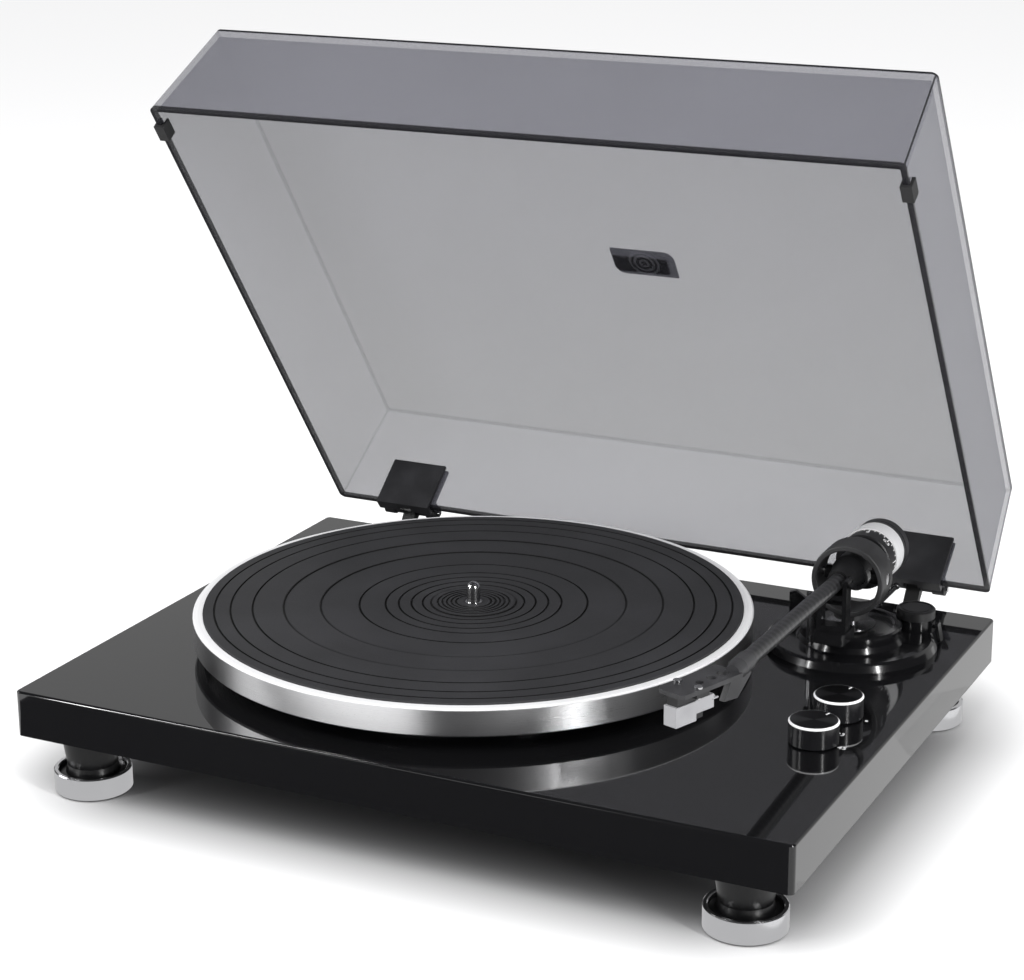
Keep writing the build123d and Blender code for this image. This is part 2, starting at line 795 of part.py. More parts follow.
def make_fin():
    # The upright stop behind the platter side of the arm base
    fin_x = pivot_x + fin_radius * cos(radians(fin_angle))
    fin_y = pivot_y + fin_radius * sin(radians(fin_angle))
    half = fin_width / 2
    outline = Polyline(
        (-half, base_height), (half, base_height), (half, fin_top - 2.5), (1.0, fin_top - 3.5),
        (-half + 3.5, fin_top), (-half, fin_top - 1.0), close=True,
    )
    fin = Pos(0, fin_thickness / 2, 0) * extrude(Plane.XZ * make_face(outline), fin_thickness)
    return Pos(fin_x, fin_y, -1.0) * Rot(0, 0, fin_angle - 140) * fin


def make_armrest():
    rest_x, middle_y = at_pivot(pivot_y - rest_y, -arm_yaw)
    forward = pivot_y - rest_y
    under = arm_axis_height(forward - rest_depth / 2) - tube_radius / cos(radians(arm_tilt)) - rest_clearance
    turn = Pos(rest_x, middle_y, 0) * Rot(0, 0, arm_yaw)
    half = rest_bracket_width / 2
    bracket = block(-half, half, -rest_bracket_front, rest_bracket_back, tier_height, rest_bracket_top)
    bracket = fillet(bracket.edges().filter_by(Axis.Z).sort_by(Axis.Y)[:2], 2.5)
    wide = rest_width / 2
    deep = rest_depth / 2
    post = block(-wide, wide, -deep, deep, rest_bracket_top, rest_bracket_top + 3)
    post += block(-wide, -wide + rest_prong, -deep, deep, rest_bracket_top, under)
    bore_z = arm_axis_height(forward) + rest_outer_rise
    post += block(wide - rest_prong, wide, -deep, deep, rest_bracket_top, bore_z)
    post += block(-wide, wide, -deep, deep, under - 2.4, under)
    bore_x = wide - rest_prong / 2
    post += rod_y(clip_pin_radius + 1.1, -deep, deep, bore_x, bore_z)
    gap = clip_depth / 2 + 0.3
    post -= block(bore_x - 4, bore_x + 4, -gap, gap, bore_z - 2.7, bore_z + 4)
    post -= rod_y(clip_pin_radius + running_fit, -deep - 1, deep + 1, bore_x, bore_z)
    parts["armrest_post"] = only(turn * (bracket + post))
    # The clip is a hooked arc on a pin, shown swung open to the outside
    pin = rod_y(clip_pin_radius, -deep, deep, bore_x, bore_z)
    lug = rod_y(2.0, -clip_depth / 2, clip_depth / 2, bore_x, bore_z)
    arc_centre = bore_x - clip_radius
    hook = rod_y(clip_radius + clip_thickness / 2, -clip_depth / 2, clip_depth / 2, arc_centre, bore_z)
    hook -= rod_y(clip_radius - clip_thickness / 2, -clip_depth, clip_depth, arc_centre, bore_z)
    hook -= block(arc_centre - 20, arc_centre + 20, -clip_depth, clip_depth, bore_z - 20, bore_z)
    swung = Pos(bore_x, 0, bore_z) * Rot(0, clip_open, 0) * Pos(-bore_x, 0, -bore_z)
    parts["armrest_clip"] = only(turn * (pin + lug + swung * hook))


def make_cue():
    cue_x, cue_y = at_pivot(cue_radius, cue_angle)
    low = 3.0
    bore = cue_post_radius + running_fit
    housing = pipe(cue_housing_radius, bore, low, cue_housing_top, cue_x, cue_y)
    parts["cue_housing"] = only(housing + rod(cue_housing_radius, low, low + 1, cue_x, cue_y))
    post = rod(cue_post_radius, low + 2.0, cue_top - cue_arc_height / 2, cue_x, cue_y)
    turns = (cue_arc_start, (cue_arc_start + cue_arc_end) / 2, cue_arc_end)
    ends = [at_pivot(cue_radius, turn) for turn in turns]
    half = cue_arc_width / 2
    # The arc is a flat strip bent round the pivot
    strip = pipe(cue_radius + half, cue_radius - half, cue_top - cue_arc_height, cue_top, pivot_x, pivot_y)
    wedge = Polyline((0, 0), *[(3 * (x - pivot_x), 3 * (y - pivot_y)) for x, y in ends], close=True)
    keep = Pos(pivot_x, pivot_y, 0) * extrude(make_face(wedge), cue_top + 1)
    arc = strip & keep
    for x, y in (ends[0], ends[2]):
        arc += rod(half, cue_top - cue_arc_height, cue_top, x, y)
    parts["cue_lift"] = only(arc + post)
    heading = Pos(lever_x, lever_y, lever_height) * Rot(0, 0, -lever_heading) * Rot(lever_rise, 0, 0)
    eye = rod_x(2.0, -lever_ear_gap / 2 + 0.3, lever_ear_gap / 2 - 0.3)
    pin = rod_x(1.0, -lever_ear_gap / 2 - 2.0, lever_ear_gap / 2 + 2.0)
    ball = []
    for turn in range(135, -1, -15):
        out = lever_ball_radius * sin(radians(turn))
        ball.append((out, lever_length + lever_ball_radius * cos(radians(turn))))
    bar = Rot(-90, 0, 0) * turned([(0, 0), (lever_radius, 0)] + ball)
    parts["cue_lever"] = only(heading * (eye + pin + bar))
    lock = Pos(lock_pin_x, lock_y, lock_height) * Rot(0, -lock_lean, 0)
    paddle = block(0, lock_thickness, -lock_width / 2, lock_width / 2, -lock_length + 3.0, 2.0)
    paddle = fillet(paddle.edges().filter_by(Axis.X), 1.2)
    stem = rod_x(1.0, -4.8, 0.6)
    parts["lock_lever"] = only(lock * paddle + Pos(lock_pin_x, lock_y, lock_height) * stem)


def make_skate_knob():
    low = base_height + skate_boss_height + 0.3
    high = low + skate_knob_height
    knob = rod(skate_knob_radius, low, high, skate_x, skate_y)
    knob = chamfer(knob.edges().filter_by(GeomType.CIRCLE).sort_by(Axis.Z)[-1], 0.8)
    knob += rod(skate_post_radius, 2.4, low, skate_x, skate_y)
    knob -= rod(skate_dish_radius, high - skate_dish_depth, high + 1, skate_x, skate_y)
    knob += rod(skate_ring_radius, high - skate_dish_depth, high - skate_dish_depth / 2, skate_x, skate_y)
    parts["anti_skate_knob"] = only(knob)


def make_gimbal():
    place = Pos(pivot_x, pivot_y, ring_centre_height) * Rot(0, 0, arm_yaw)
    ring = rod_y(ring_radius, -ring_front, ring_back)
    ring -= rod_y(ring_radius - ring_wall, -ring_front - 1, ring_back + 1)
    ring = fillet(ring.edges().filter_by(GeomType.CIRCLE), ring_rim_fillet)
    foot = rod(ring_foot_radius, -ring_radius - ring_foot_height + 1.5, -ring_radius + 4.5)
    foot -= rod_y(ring_radius - ring_wall, -20, 20)
    foot &= block(-20, 20, -ring_back, ring_back, -40, 0)
    lift = tilt_axis_height - ring_centre_height
    ring += foot
    ring -= rod_x(pivot_screw_radius, -30, 30, 0, lift)
    ring -= rod_x(pivot_screw_head_radius + 0.2, ring_radius - 1.2, 30, 0, lift)
    ring -= rod_x(pivot_screw_head_radius + 0.2, -30, -ring_radius + 1.2, 0, lift)
    parts["gimbal_ring"] = only(place * ring)
    screws = []
    for side in (-1, 1):
        inner = side * (hub_arm_reach - pivot_tip_depth + 0.3)
        outer = side * (ring_radius - 1.2)
        top = side * (ring_radius - 1.2 + pivot_screw_head)
        screw = rod_x(pivot_screw_radius, min(inner, outer), max(inner, outer), 0, lift)
        screw += rod_x(pivot_screw_head_radius, min(outer, top), max(outer, top), 0, lift)
        screws.append(only(place * screw))
    parts["pivot_screws"] = group(screws)
    shaft_top = ring_centre_height - ring_radius - ring_foot_height + 1.5
    parts["swing_shaft"] = only(rod(swing_shaft_radius, housing_bottom + 0.5, shaft_top, pivot_x, pivot_y))


def make_arm():
    drop = tilt_axis_height - arm_height
    pivot = Pos(pivot_x, pivot_y, tilt_axis_height) * Rot(0, 0, arm_yaw)
    arm = pivot * Rot(-arm_tilt, 0, 0) * Pos(0, 0, -drop)
    hub = Rot(90, 0, 0) * turned(
        [
            (0, -hub_back),
            (hub_body_radius - 1.0, -hub_back),
            (hub_body_radius, -hub_back + 1.0),
            (hub_body_radius, hub_front * 0.3),
            (hub_mouth_radius + 1.6, hub_front * 0.62),
            (hub_mouth_radius, hub_front),
            (0, hub_front),
        ]
    )
    hub += rod_x(hub_arm_radius, -hub_arm_reach, hub_arm_reach, 0, drop)
    hole = pivot_screw_radius + running_fit
    for side in (-1, 1):
        near = side * (hub_arm_reach - pivot_tip_depth)
        far = side * (hub_arm_reach + 1)
        hub -= rod_x(hole, min(near, far), max(near, far), 0, drop)
    hub -= rod_y(tube_radius, -hub_front - 1, -hub_front + tube_socket)
    rear = arm * Pos(0, 0, -weight_drop)
    hub -= Pos(0, 0, -weight_drop) * rod_y(stub_radius, hub_back - stub_grip, hub_back + 1)
    parts["arm_hub"] = only(arm * hub)
    tube = rod_y(tube_radius, -tube_end, -hub_front + tube_socket)
    tube -= rod_y(tube_radius - tube_wall, -tube_end - 1, -hub_front + tube_socket + 1)
    parts["arm_tube"] = only(arm * tube)
    dial_end = weight_start + dial_width
    bush_start = dial_end + weight_gap
    band_end = bush_start + band_width
    weight_end = band_end + weight_end_width
    beyond = weight_end + 1
    stub = rod_y(stub_radius, hub_back - stub_grip, weight_end - weight_recess + 2)
    parts["weight_stub"] = only(rear * stub)
    sleeve = rod_y(weight_bush_radius, bush_start, weight_end - weight_recess)
    sleeve -= rod_y(stub_radius + running_fit, 0, beyond)
    parts["weight_sleeve"] = only(rear * sleeve)
    dial = rod_y(dial_radius, weight_start, dial_end)
    dial = chamfer(dial.edges().filter_by(GeomType.CIRCLE).sort_by(Axis.Y)[0], 0.6)
    dial -= rod_y(dial_radius - dial_wall, weight_start + dial_floor, dial_end + 1)
    dial += rod_y(weight_bush_radius, weight_start, dial_end)
    dial -= rod_y(stub_radius + running_fit, 0, beyond)
    parts["force_dial"] = only(rear * dial)
    bore = weight_bush_radius + running_fit
    inner = weight_radius - band_wall
    band = rod_y(weight_radius, bush_start, band_end) - rod_y(inner, bush_start - 1, band_end + 1)
    parts["weight_band"] = only(rear * band)
    core = rod_y(inner, bush_start, band_end) + rod_y(weight_radius, band_end, weight_end)
    core = fillet(core.edges().filter_by(GeomType.CIRCLE).sort_by(Axis.Y)[-1], 1.2)
    groove = (band_end + weight_groove_place, band_end + weight_groove_place + weight_groove_width)
    core -= rod_y(weight_radius + 1, *groove) - rod_y(weight_radius - weight_groove_depth, *groove)
    core -= rod_y(bore, 0, beyond) + rod_y(weight_recess_radius, weight_end - weight_recess, beyond)
    parts["counterweight"] = only(rear * core)
    make_headshell(arm)


def make_headshell(arm):
    end = arm * Pos(0, -tube_end, 0)
    shell = end * Rot(0, 0, -shell_offset) * Rot(shell_pitch, 0, 0)
    low = shell_top - shell_thickness
    half = shell_width / 2
    nose = -shell_length
    outline = Polyline(
        (-half, -shell_start), (half, -shell_start), (half, nose + shell_corner), (half - shell_corner, nose),
        (-half + shell_corner, nose + 0.6), (-half, nose + 0.6 + shell_corner), close=True,
    )
    plate = Pos(0, 0, low) * extrude(make_face(outline), shell_thickness)
    for place, radius in zip(shell_hole_places, shell_hole_radii):
        plate -= rod(radius, low - 1, shell_top + 1, shell_hole_shift, -place)
    # A round collar takes the tube's end, and a thin web with a raked front hangs below it
    collar = turned(
        [
            (0, -collar_back),
            (collar_radius, -collar_back),
            (collar_radius, collar_front * 0.3),
            (collar_radius * 0.7, collar_front),
            (0, collar_front),
        ]
    )
    collar = Rot(90, 0, 0) * collar
    neck_half = neck_width / 2
    side = Polyline(
        (6.0, -2.0), (-6.0, -1.0), (-neck_front, -neck_drop), (-neck_front + 9.5, -neck_drop - 0.6),
        (6.0, -5.0), close=True,
    )
    neck = Pos(-neck_half, 0, 0) * extrude(Plane.YZ * make_face(side), neck_width)
    body = shell * (plate + neck) + end * collar
    body -= end * rod_y(tube_radius, 0, collar_back + 1)
    holes = []
    for step in (-0.5, 0.5):
        x = step * shell_screw_pitch
        body -= shell * rod(shell_screw_radius, low - 1, shell_top + 1, x, -shell_screw_place)
        holes.append(x)
    parts["headshell"] = only(body)
    mount_low = low - cartridge_mount_height
    front_end = -cartridge_front
    split = front_end + cartridge_front_length
    tail_end = split + cartridge_tail_length
    screws = []
    wide = cartridge_width / 2 - 0.6
    mount = block(-wide, wide, front_end + 1.5, tail_end - 3, mount_low, low)
    ear = shell_screw_pitch / 2 + mount_ear_edge
    ear_front = -shell_screw_place - mount_ear_depth
    ear_back = -shell_screw_place + mount_ear_depth
    mount += block(-ear, ear, ear_front, ear_back, low - mount_ear_height, low)
    for x in holes:
        mount -= rod(shell_screw_radius, mount_low - 1, low + 1, x, -shell_screw_place)
        head = rod(shell_screw_head_radius, shell_top, shell_top + shell_screw_head, x, -shell_screw_place)
        shank = rod(shell_screw_radius, low - shell_screw_reach, shell_top, x, -shell_screw_place)
        screws.append(only(shell * (head + shank)))
    parts["headshell_screws"] = group(screws)
    parts["cartridge_mount"] = only(shell * mount)
    half = cartridge_width / 2
    body_low = mount_low - cartridge_height
    body = block(-half, half, front_end, split, body_low, mount_low)
    body += block(-half + 0.5, half - 0.5, split, tail_end, mount_low - cartridge_tail_height, mount_low)
    for x in (-3, -1, 1, 3):
        body += rod_y(cartridge_pin_radius, tail_end - 1, tail_end + cartridge_pin_length, x, mount_low - 2.5)
    parts["cartridge_body"] = only(shell * body)
    tail_low = mount_low - cartridge_tail_height
    holder_low = tail_low - stylus_height
    holder = block(-stylus_half, stylus_half, split, split + stylus_length, holder_low, tail_low)
    needle = rod(needle_radius, body_low - stylus_drop, tail_low - 2.0, 0, split + 1.6)
    parts["stylus"] = only(shell * (holder + needle))


def lid_frame():
    # From the cover's own closed frame to its open place
    return (
        Pos(0, hinge_y, hinge_z)
        * Rot(-cover_angle, 0, 0)
        * Pos(0, lid_rim_y - hinge_y, lid_rim_z - hinge_z)
    )


def lid_solid(inset, z_low, z_high):
    # The cover's outer or inner form between two heights, with every wall moved in by the inset
    faces = []
    for z in (z_low, z_high):
        share = z / lid_rear_height
        width = lid_width - 2 * lid_side_taper * share - 2 * inset
        back = -lid_rear_lean * share - inset
        front = -lid_depth + lid_front_lean * share + inset
        outline = RectangleRounded(width, back - front, max(lid_corner_radius - inset, 0.4))
        faces.append(Pos(0, (back + front) / 2, z) * outline)
    return loft(faces, ruled=True)


def make_cover():
    frame = lid_frame()
    shell = lid_solid(0, 0, lid_rear_height) - lid_solid(lid_wall, -0.01, lid_rear_height - lid_wall)
    parts["dust_cover"] = only(frame * shell)
    plate_low = lid_rear_height
    badge = Rectangle(badge_width, badge_depth)
    corners = badge.vertices().sort_by(Axis.X)
    right = corners[-2:].sort_by(Axis.Y)[0]
    left = corners[:2].sort_by(Axis.Y)[-1]
    badge = fillet([right, left], badge_corner_radius)
    plate = Pos(badge_x, -badge_y, plate_low) * extrude(badge, badge_thickness)
    rings = []
    for radius in badge_ring_radii:
        ring_high = plate_low + badge_thickness + badge_ring_height
        ring = pipe(radius, radius - badge_ring_width, plate_low, ring_high, badge_x, -badge_y)
        rings.append(only(frame * ring))
        plate -= ring
    parts["cover_badge"] = group([frame * piece for piece in plate.solids()])
    parts["badge_rings"] = group(rings)
    bumpers = []
    for side in (-1, 1):
        outer_x = side * lid_width / 2
        inner_x = outer_x - side * lid_wall
        low = -bumper_sink
        x0 = min(outer_x + side * bumper_wall, inner_x - side * bumper_wall)
        x1 = max(outer_x + side * bumper_wall, inner_x - side * bumper_wall)
        clip = block(x0, x1, -bumper_back - bumper_length, -bumper_back, low, low + bumper_height)
        clip -= lid_solid(0, 0, lid_rear_height) - lid_solid(lid_wall, -0.01, lid_rear_height - lid_wall)
        bumpers.append(only(frame * clip))
    parts["cover_bumpers"] = group(bumpers)


def make_hinges():
    frame = lid_frame()
    lean = degrees(atan2(lid_rear_lean, lid_rear_height))
    pin_y = hinge_y - lid_rim_y
    pin_z = hinge_z - lid_rim_z
    brackets = []
    clips = []
    pins = []
    washers = []
    for side in (-1, 1):
        x0 = side * hinge_x - clip_plate_width / 2
        x1 = x0 + clip_plate_width
        outer = clip_slot_fit + clip_plate_thickness
        clip = block(x0, x1, -lid_wall - outer, outer, -clip_web, clip_plate_height)
        clip -= block(x0 - 1, x1 + 1, -lid_wall - clip_slot_fit, clip_slot_fit, -0.1, clip_plate_height + 1)
        clip = Rot(lean, 0, 0) * clip
        half = bracket_knuckle / 2
        inner_gap = half + knuckle_gap
        middle = side * hinge_x
        room = inner_gap + washer_radius * 2
        for near, far in ((x0, middle - room), (middle + room, x1)):
            clip += rod_x(knuckle_radius, near, far, pin_y, pin_z)
            clip += block(near, far, 0.5, pin_y, pin_z - 2.5, pin_z + 2.5)
        clip -= block(middle - inner_gap, middle + inner_gap, -1.0, 20, -10, pin_z + knuckle_radius + 1)
        bore = hinge_pin_radius
        clip -= rod_x(bore, x0 - 1, x1 + 1, pin_y, pin_z)
        clips.append(only(frame * clip))
        pin = rod_x(bore, x0 - hinge_pin_overhang, x1 + hinge_pin_overhang, pin_y, pin_z)
        pins.append(only(frame * pin))
        width = bracket_width / 2
        face = plinth_rear
        outside = face + bracket_plate_thickness
        plate = block(middle - width, middle + width, face, outside, -bracket_drop, hinge_z - 9.0)
        side_view = Polyline(
            (face, hinge_z - 9.0), (face, -bracket_drop), (outside, -bracket_drop),
            (outside + 2, hinge_z - 16.0), (hinge_y + knuckle_radius - 0.2, hinge_z - 1.0),
            (hinge_y, hinge_z + 1.0), (hinge_y - knuckle_radius + 0.3, hinge_z - 0.5),
            (face + 5.0, hinge_z - 12.0), close=True,
        )
        arm = Pos(middle - half, 0, 0) * extrude(Plane.YZ * make_face(side_view), bracket_knuckle)
        bracket = plate + arm + rod_x(knuckle_radius, middle - half, middle + half, hinge_y, hinge_z)
        bracket -= rod_x(hinge_pin_radius + running_fit, middle - 20, middle + 20, hinge_y, hinge_z)
        for step in (-1, 1):
            x = middle + step * bracket_width / 4
            z = -bracket_drop * 0.6
            bracket -= rod_y(bracket_screw_radius + 0.2, face - 1, face + 9, x, z)
            screw = rod_y(bracket_screw_head_radius, outside, outside + 1.2, x, z)
            screw += rod_y(bracket_screw_radius, face - 8, outside, x, z)
            case_screws.append(only(screw))
        brackets.append(only(bracket))
        for step in (-1, 1):
            start = middle + step * (inner_gap + washer_radius)
            half = washer_radius - 0.3
            washer = rod_x(washer_radius, start - half, start + half, hinge_y, hinge_z)
            washer -= rod_x(hinge_pin_radius + 0.4, start - 10, start + 10, hinge_y, hinge_z)
            washers.append(only(washer))
    parts["hinge_brackets"] = group(brackets)
    parts["hinge_clips"] = group(clips)
    parts["hinge_pins"] = group(pins)
    parts["hinge_washers"] = group(washers)


make_case()
make_feet()
make_platter()
make_drive()
make_board()
make_knobs()
make_sockets()
make_arm_base()
make_armrest()
make_cue()
make_skate_knob()
make_gimbal()
make_arm()
make_cover()
make_hinges()
parts["case_screws"] = group(case_screws)

# The row's origin is under the middle of the whole object, cover open
front_edge = -plinth_depth / 2
rear_edge = parts["dust_cover"].bounding_box().max.Y
middle_y = (front_edge + rear_edge) / 2
to_row = Pos(0, -middle_y, -floor)
print("row shift", round(-middle_y, 4), round(-floor, 4))

os.makedirs("parts", exist_ok=True)
for name, shape in parts.items():
    export_step(to_row * shape, "parts/" + name + ".step")
print(len(parts), "nodes")
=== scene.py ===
import json
from math import cos, pi, radians, sin

import bmesh
import bpy
from mathutils import Matrix, Vector


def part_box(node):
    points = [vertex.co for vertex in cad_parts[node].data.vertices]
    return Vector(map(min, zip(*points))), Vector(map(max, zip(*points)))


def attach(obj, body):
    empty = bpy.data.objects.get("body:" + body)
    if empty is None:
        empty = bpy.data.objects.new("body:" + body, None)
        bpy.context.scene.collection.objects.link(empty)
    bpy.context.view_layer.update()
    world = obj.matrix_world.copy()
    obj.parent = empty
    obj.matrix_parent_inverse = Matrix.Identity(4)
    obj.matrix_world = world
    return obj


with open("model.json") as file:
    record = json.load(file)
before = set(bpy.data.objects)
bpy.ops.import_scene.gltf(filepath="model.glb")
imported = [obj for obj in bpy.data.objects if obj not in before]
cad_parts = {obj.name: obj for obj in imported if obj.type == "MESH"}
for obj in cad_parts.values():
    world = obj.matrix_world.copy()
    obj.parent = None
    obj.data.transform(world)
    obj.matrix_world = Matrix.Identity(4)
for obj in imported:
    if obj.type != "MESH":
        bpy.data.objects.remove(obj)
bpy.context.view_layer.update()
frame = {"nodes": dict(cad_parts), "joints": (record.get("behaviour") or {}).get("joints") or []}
nodes = frame["nodes"]
joints = {j["name"]: j for j in frame["joints"]}
mm = 0.001
print("frame loaded,", len(nodes), "nodes")


# Camera, fitted to the photo's edges

camera = {
    "place": (0.54511, -1.14224, 0.53752),
    "azimuth": 0.45960,
    "elevation": 0.30583,
    "roll": -0.005686,
    "lens": 88.45,
    "sensor": 36.0,
}


def makeCamera():
    az, el = camera["azimuth"], camera["elevation"]
    ahead = Vector((-sin(az) * cos(el), cos(az) * cos(el), -sin(el)))
    right = Vector((cos(az), sin(az), 0.0))
    up = right.cross(ahead)
    c, s = cos(camera["roll"]), sin(camera["roll"])
    across, over = c * right + s * up, c * up - s * right
    data = bpy.data.cameras.new("camera")
    data.lens = camera["lens"]
    data.sensor_width = camera["sensor"]
    data.clip_start, data.clip_end = 0.05, 50.0
    thing = bpy.data.objects.new("camera", data)
    bpy.context.scene.collection.objects.link(thing)
    turn = Matrix((across, over, -ahead)).transposed().to_4x4()
    thing.matrix_world = Matrix.Translation(camera["place"]) @ turn
    bpy.context.scene.camera = thing


makeCamera()
print("camera placed")


# Shader maths: a wrapped socket, and a paint that holds one material's nodes

class Sock:
    def __init__(self, paint, out):
        self.paint, self.out = paint, out

    def math(self, operation, *others):
        inputs = dict(enumerate((self,) + others))
        return self.paint.add("ShaderNodeMath", {"operation": operation}, inputs)

    def swapped(self, operation, other):
        return self.paint.add("ShaderNodeMath", {"operation": operation}, {0: other, 1: self})

    def __add__(self, other):
        return self.math("ADD", other)

    def __radd__(self, other):
        return self.swapped("ADD", other)

    def __sub__(self, other):
        return self.math("SUBTRACT", other)

    def __rsub__(self, other):
        return self.swapped("SUBTRACT", other)

    def __mul__(self, other):
        return self.math("MULTIPLY", other)

    def __rmul__(self, other):
        return self.swapped("MULTIPLY", other)

    def __pow__(self, other):
        return self.math("POWER", other)

    def __abs__(self):
        return self.math("ABSOLUTE")

    def __lt__(self, other):
        return self.math("LESS_THAN", other)

    def sine(self):
        return self.math("SINE")

    def least(self, other):
        return self.math("MINIMUM", other)

    def most(self, other):
        return self.math("MAXIMUM", other)

    def ramp(self, low, high):
        # 0 below low, 1 above high, smooth between
        return self.paint.add(
            "ShaderNodeMapRange", {"interpolation_type": "SMOOTHSTEP"},
            {"Value": self, "From Min": low, "From Max": high})


class Paint:
    def __init__(self, name, colour=(0.5, 0.5, 0.5), rough=0.5, **more):
        self.material = bpy.data.materials.new(name)
        self.material.use_nodes = True
        self.tree = self.material.node_tree
        self.shader = self.tree.nodes["Principled BSDF"]
        self.made = {}
        self.set("Base Color", (*colour, 1.0))
        self.set("Roughness", rough)
        for key, value in more.items():
            self.set(key.replace("_", " ").title().replace("Ior", "IOR"), value)

    def set(self, socket, value):
        if isinstance(value, Sock):
            self.tree.links.new(value.out, self.shader.inputs[socket])
        else:
            self.shader.inputs[socket].default_value = value

    def add(self, kind, settings=None, inputs=None, output=0):
        node = self.tree.nodes.new(kind)
        for key, value in (settings or {}).items():
            setattr(node, key, value)
        for key, value in (inputs or {}).items():
            if isinstance(value, Sock):
                self.tree.links.new(value.out, node.inputs[key])
            else:
                node.inputs[key].default_value = value
        return Sock(self, node.outputs[output])

    def place(self):
        if "place" not in self.made:
            self.made["place"] = self.add("ShaderNodeTexCoord", {}, {}, "Object")
        return self.made["place"]

    def xyz(self):
        if "xyz" not in self.made:
            place = self.place()
            first = self.add("ShaderNodeSeparateXYZ", {}, {0: place})
            outs = first.out.node.outputs
            self.made["xyz"] = [Sock(self, outs[i]) for i in range(3)]
        return self.made["xyz"]

    def vector(self, x=0.0, y=0.0, z=0.0):
        return self.add("ShaderNodeCombineXYZ", {}, {0: x, 1: y, 2: z})

    def along(self, start, direction):
        # Distance from a point along a direction
        moved = self.add(
            "ShaderNodeVectorMath", {"operation": "SUBTRACT"},
            {0: self.place(), 1: tuple(start)})
        return self.add(
            "ShaderNodeVectorMath", {"operation": "DOT_PRODUCT"},
            {0: moved, 1: tuple(direction)}, "Value")

    def noise(self, scale, detail=2.0, vector=None, rough=0.5):
        return self.add(
            "ShaderNodeTexNoise", {},
            {"Vector": vector or self.place(), "Scale": scale, "Detail": detail, "Roughness": rough})

    def mix(self, mask, first, second):
        wide = [s if isinstance(s, Sock) else (*s[:3], 1.0) for s in (first, second)]
        return self.add("ShaderNodeMix", {"data_type": "RGBA"}, {0: mask, 6: wide[0], 7: wide[1]}, 2)

    def bump(self, height, distance, strength=1.0):
        inputs = {"Height": height, "Distance": distance, "Strength": strength}
        self.set("Normal", self.add("ShaderNodeBump", {}, inputs))

    def radius(self, centre):
        x, y, _ = self.xyz()
        dx, dy = x - centre[0], y - centre[1]
        return (dx * dx + dy * dy) ** 0.5

    def angle(self, centre):
        x, y, _ = self.xyz()
        return (y - centre[1]).math("ARCTAN2", x - centre[0])


def coat(names, paint):
    # A CAD node, or a new piece, takes a finish
    for name in names.split():
        thing = nodes[name] if name in nodes else bpy.data.objects[name]
        thing.data.materials.clear()
        thing.data.materials.append(paint.material)
        thing.data.update()


# Shared places, all read from the frame

def middle(name):
    low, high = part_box(name)
    return (Vector(low) + Vector(high)) / 2


platterMiddle = Vector(joints["platter_spin"]["pos_m"])
frontKnobMiddle = Vector(joints["front_knob_turn"]["pos_m"])
backKnobMiddle = Vector(joints["back_knob_turn"]["pos_m"])
swingMiddle = Vector(joints["arm_swing"]["pos_m"])
armBack = Vector(joints["weight_turn"]["axis"]).normalized()
armPoint = Vector(joints["weight_turn"]["pos_m"])
armRight = armBack.cross(Vector((0, 0, 1))).normalized()
armUp = armRight.cross(armBack).normalized()
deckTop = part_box("plinth")[1][2]


# Finishes

plinthPaint = {"colour": (0.0045, 0.0045, 0.005), "rough": 0.035, "wave": 0.00002, "coat": 0.35}


def paintPlinth():
    # Lacquer with dust specks, faint smears and a slow wave
    look = plinthPaint
    paint = Paint("glossBlackLacquer", look["colour"], look["rough"], ior=1.5, coat_weight=look["coat"])
    dust = paint.noise(900.0, 3.0).ramp(0.62, 0.8)
    smear = paint.noise(9.0, 3.0)
    paint.set("Roughness", look["rough"] + 0.05 * dust + 0.02 * smear)
    paint.bump(paint.noise(38.0, 1.0), look["wave"], 0.25)
    coat("plinth", paint)


def plasticPaint(name, colour, rough=0.45, grain=0.00004, scale=1800.0, spread=0.25):
    # Moulded plastic: fine grain, a little uneven in colour and shine
    paint = Paint(name, colour, rough)
    cloud = paint.noise(60.0, 3.0)
    light = tuple(min(1.0, c * (1.0 + spread)) for c in colour)
    dark = tuple(c * (1.0 - spread) for c in colour)
    paint.set("Base Color", paint.mix(cloud.ramp(0.3, 0.7), dark, light))
    fine = paint.noise(scale, 2.0)
    paint.set("Roughness", rough - 0.06 + 0.12 * fine)
    paint.bump(fine, grain, 0.5)
    return paint


def glossPaint(name, colour, rough=0.08):
    # Smooth black plastic with uneven shine
    paint = Paint(name, colour, rough, coat_weight=0.3)
    paint.set("Roughness", rough + 0.05 * paint.noise(40.0, 3.0))
    paint.bump(paint.noise(220.0, 1.0), 0.00001, 0.2)
    return paint


lathe = {"lines": 5200.0, "depth": 0.00002, "armLines": 4200.0, "armDepth": 0.000015}


def turnedPaint(name, colour, rough, centre):
    # Lathe marks: rings on flat faces and bands on upright ones, round a centre
    paint = Paint(name, colour, rough, metallic=1.0)
    _, _, z = paint.xyz()
    rings = paint.noise(lathe["lines"], 3.0, paint.vector(paint.radius(centre), 0.0, z), 0.7)
    sweep = paint.noise(2.2, 2.0, paint.vector(paint.angle(centre), 0.0, 0.0))
    shade = tuple(c * 0.82 for c in colour)
    paint.set("Base Color", paint.mix(rings.ramp(0.35, 0.65), shade, colour))
    paint.set("Roughness", rough - 0.05 + 0.08 * rings + 0.05 * sweep)
    paint.bump(rings, lathe["depth"], 0.6)
    return paint


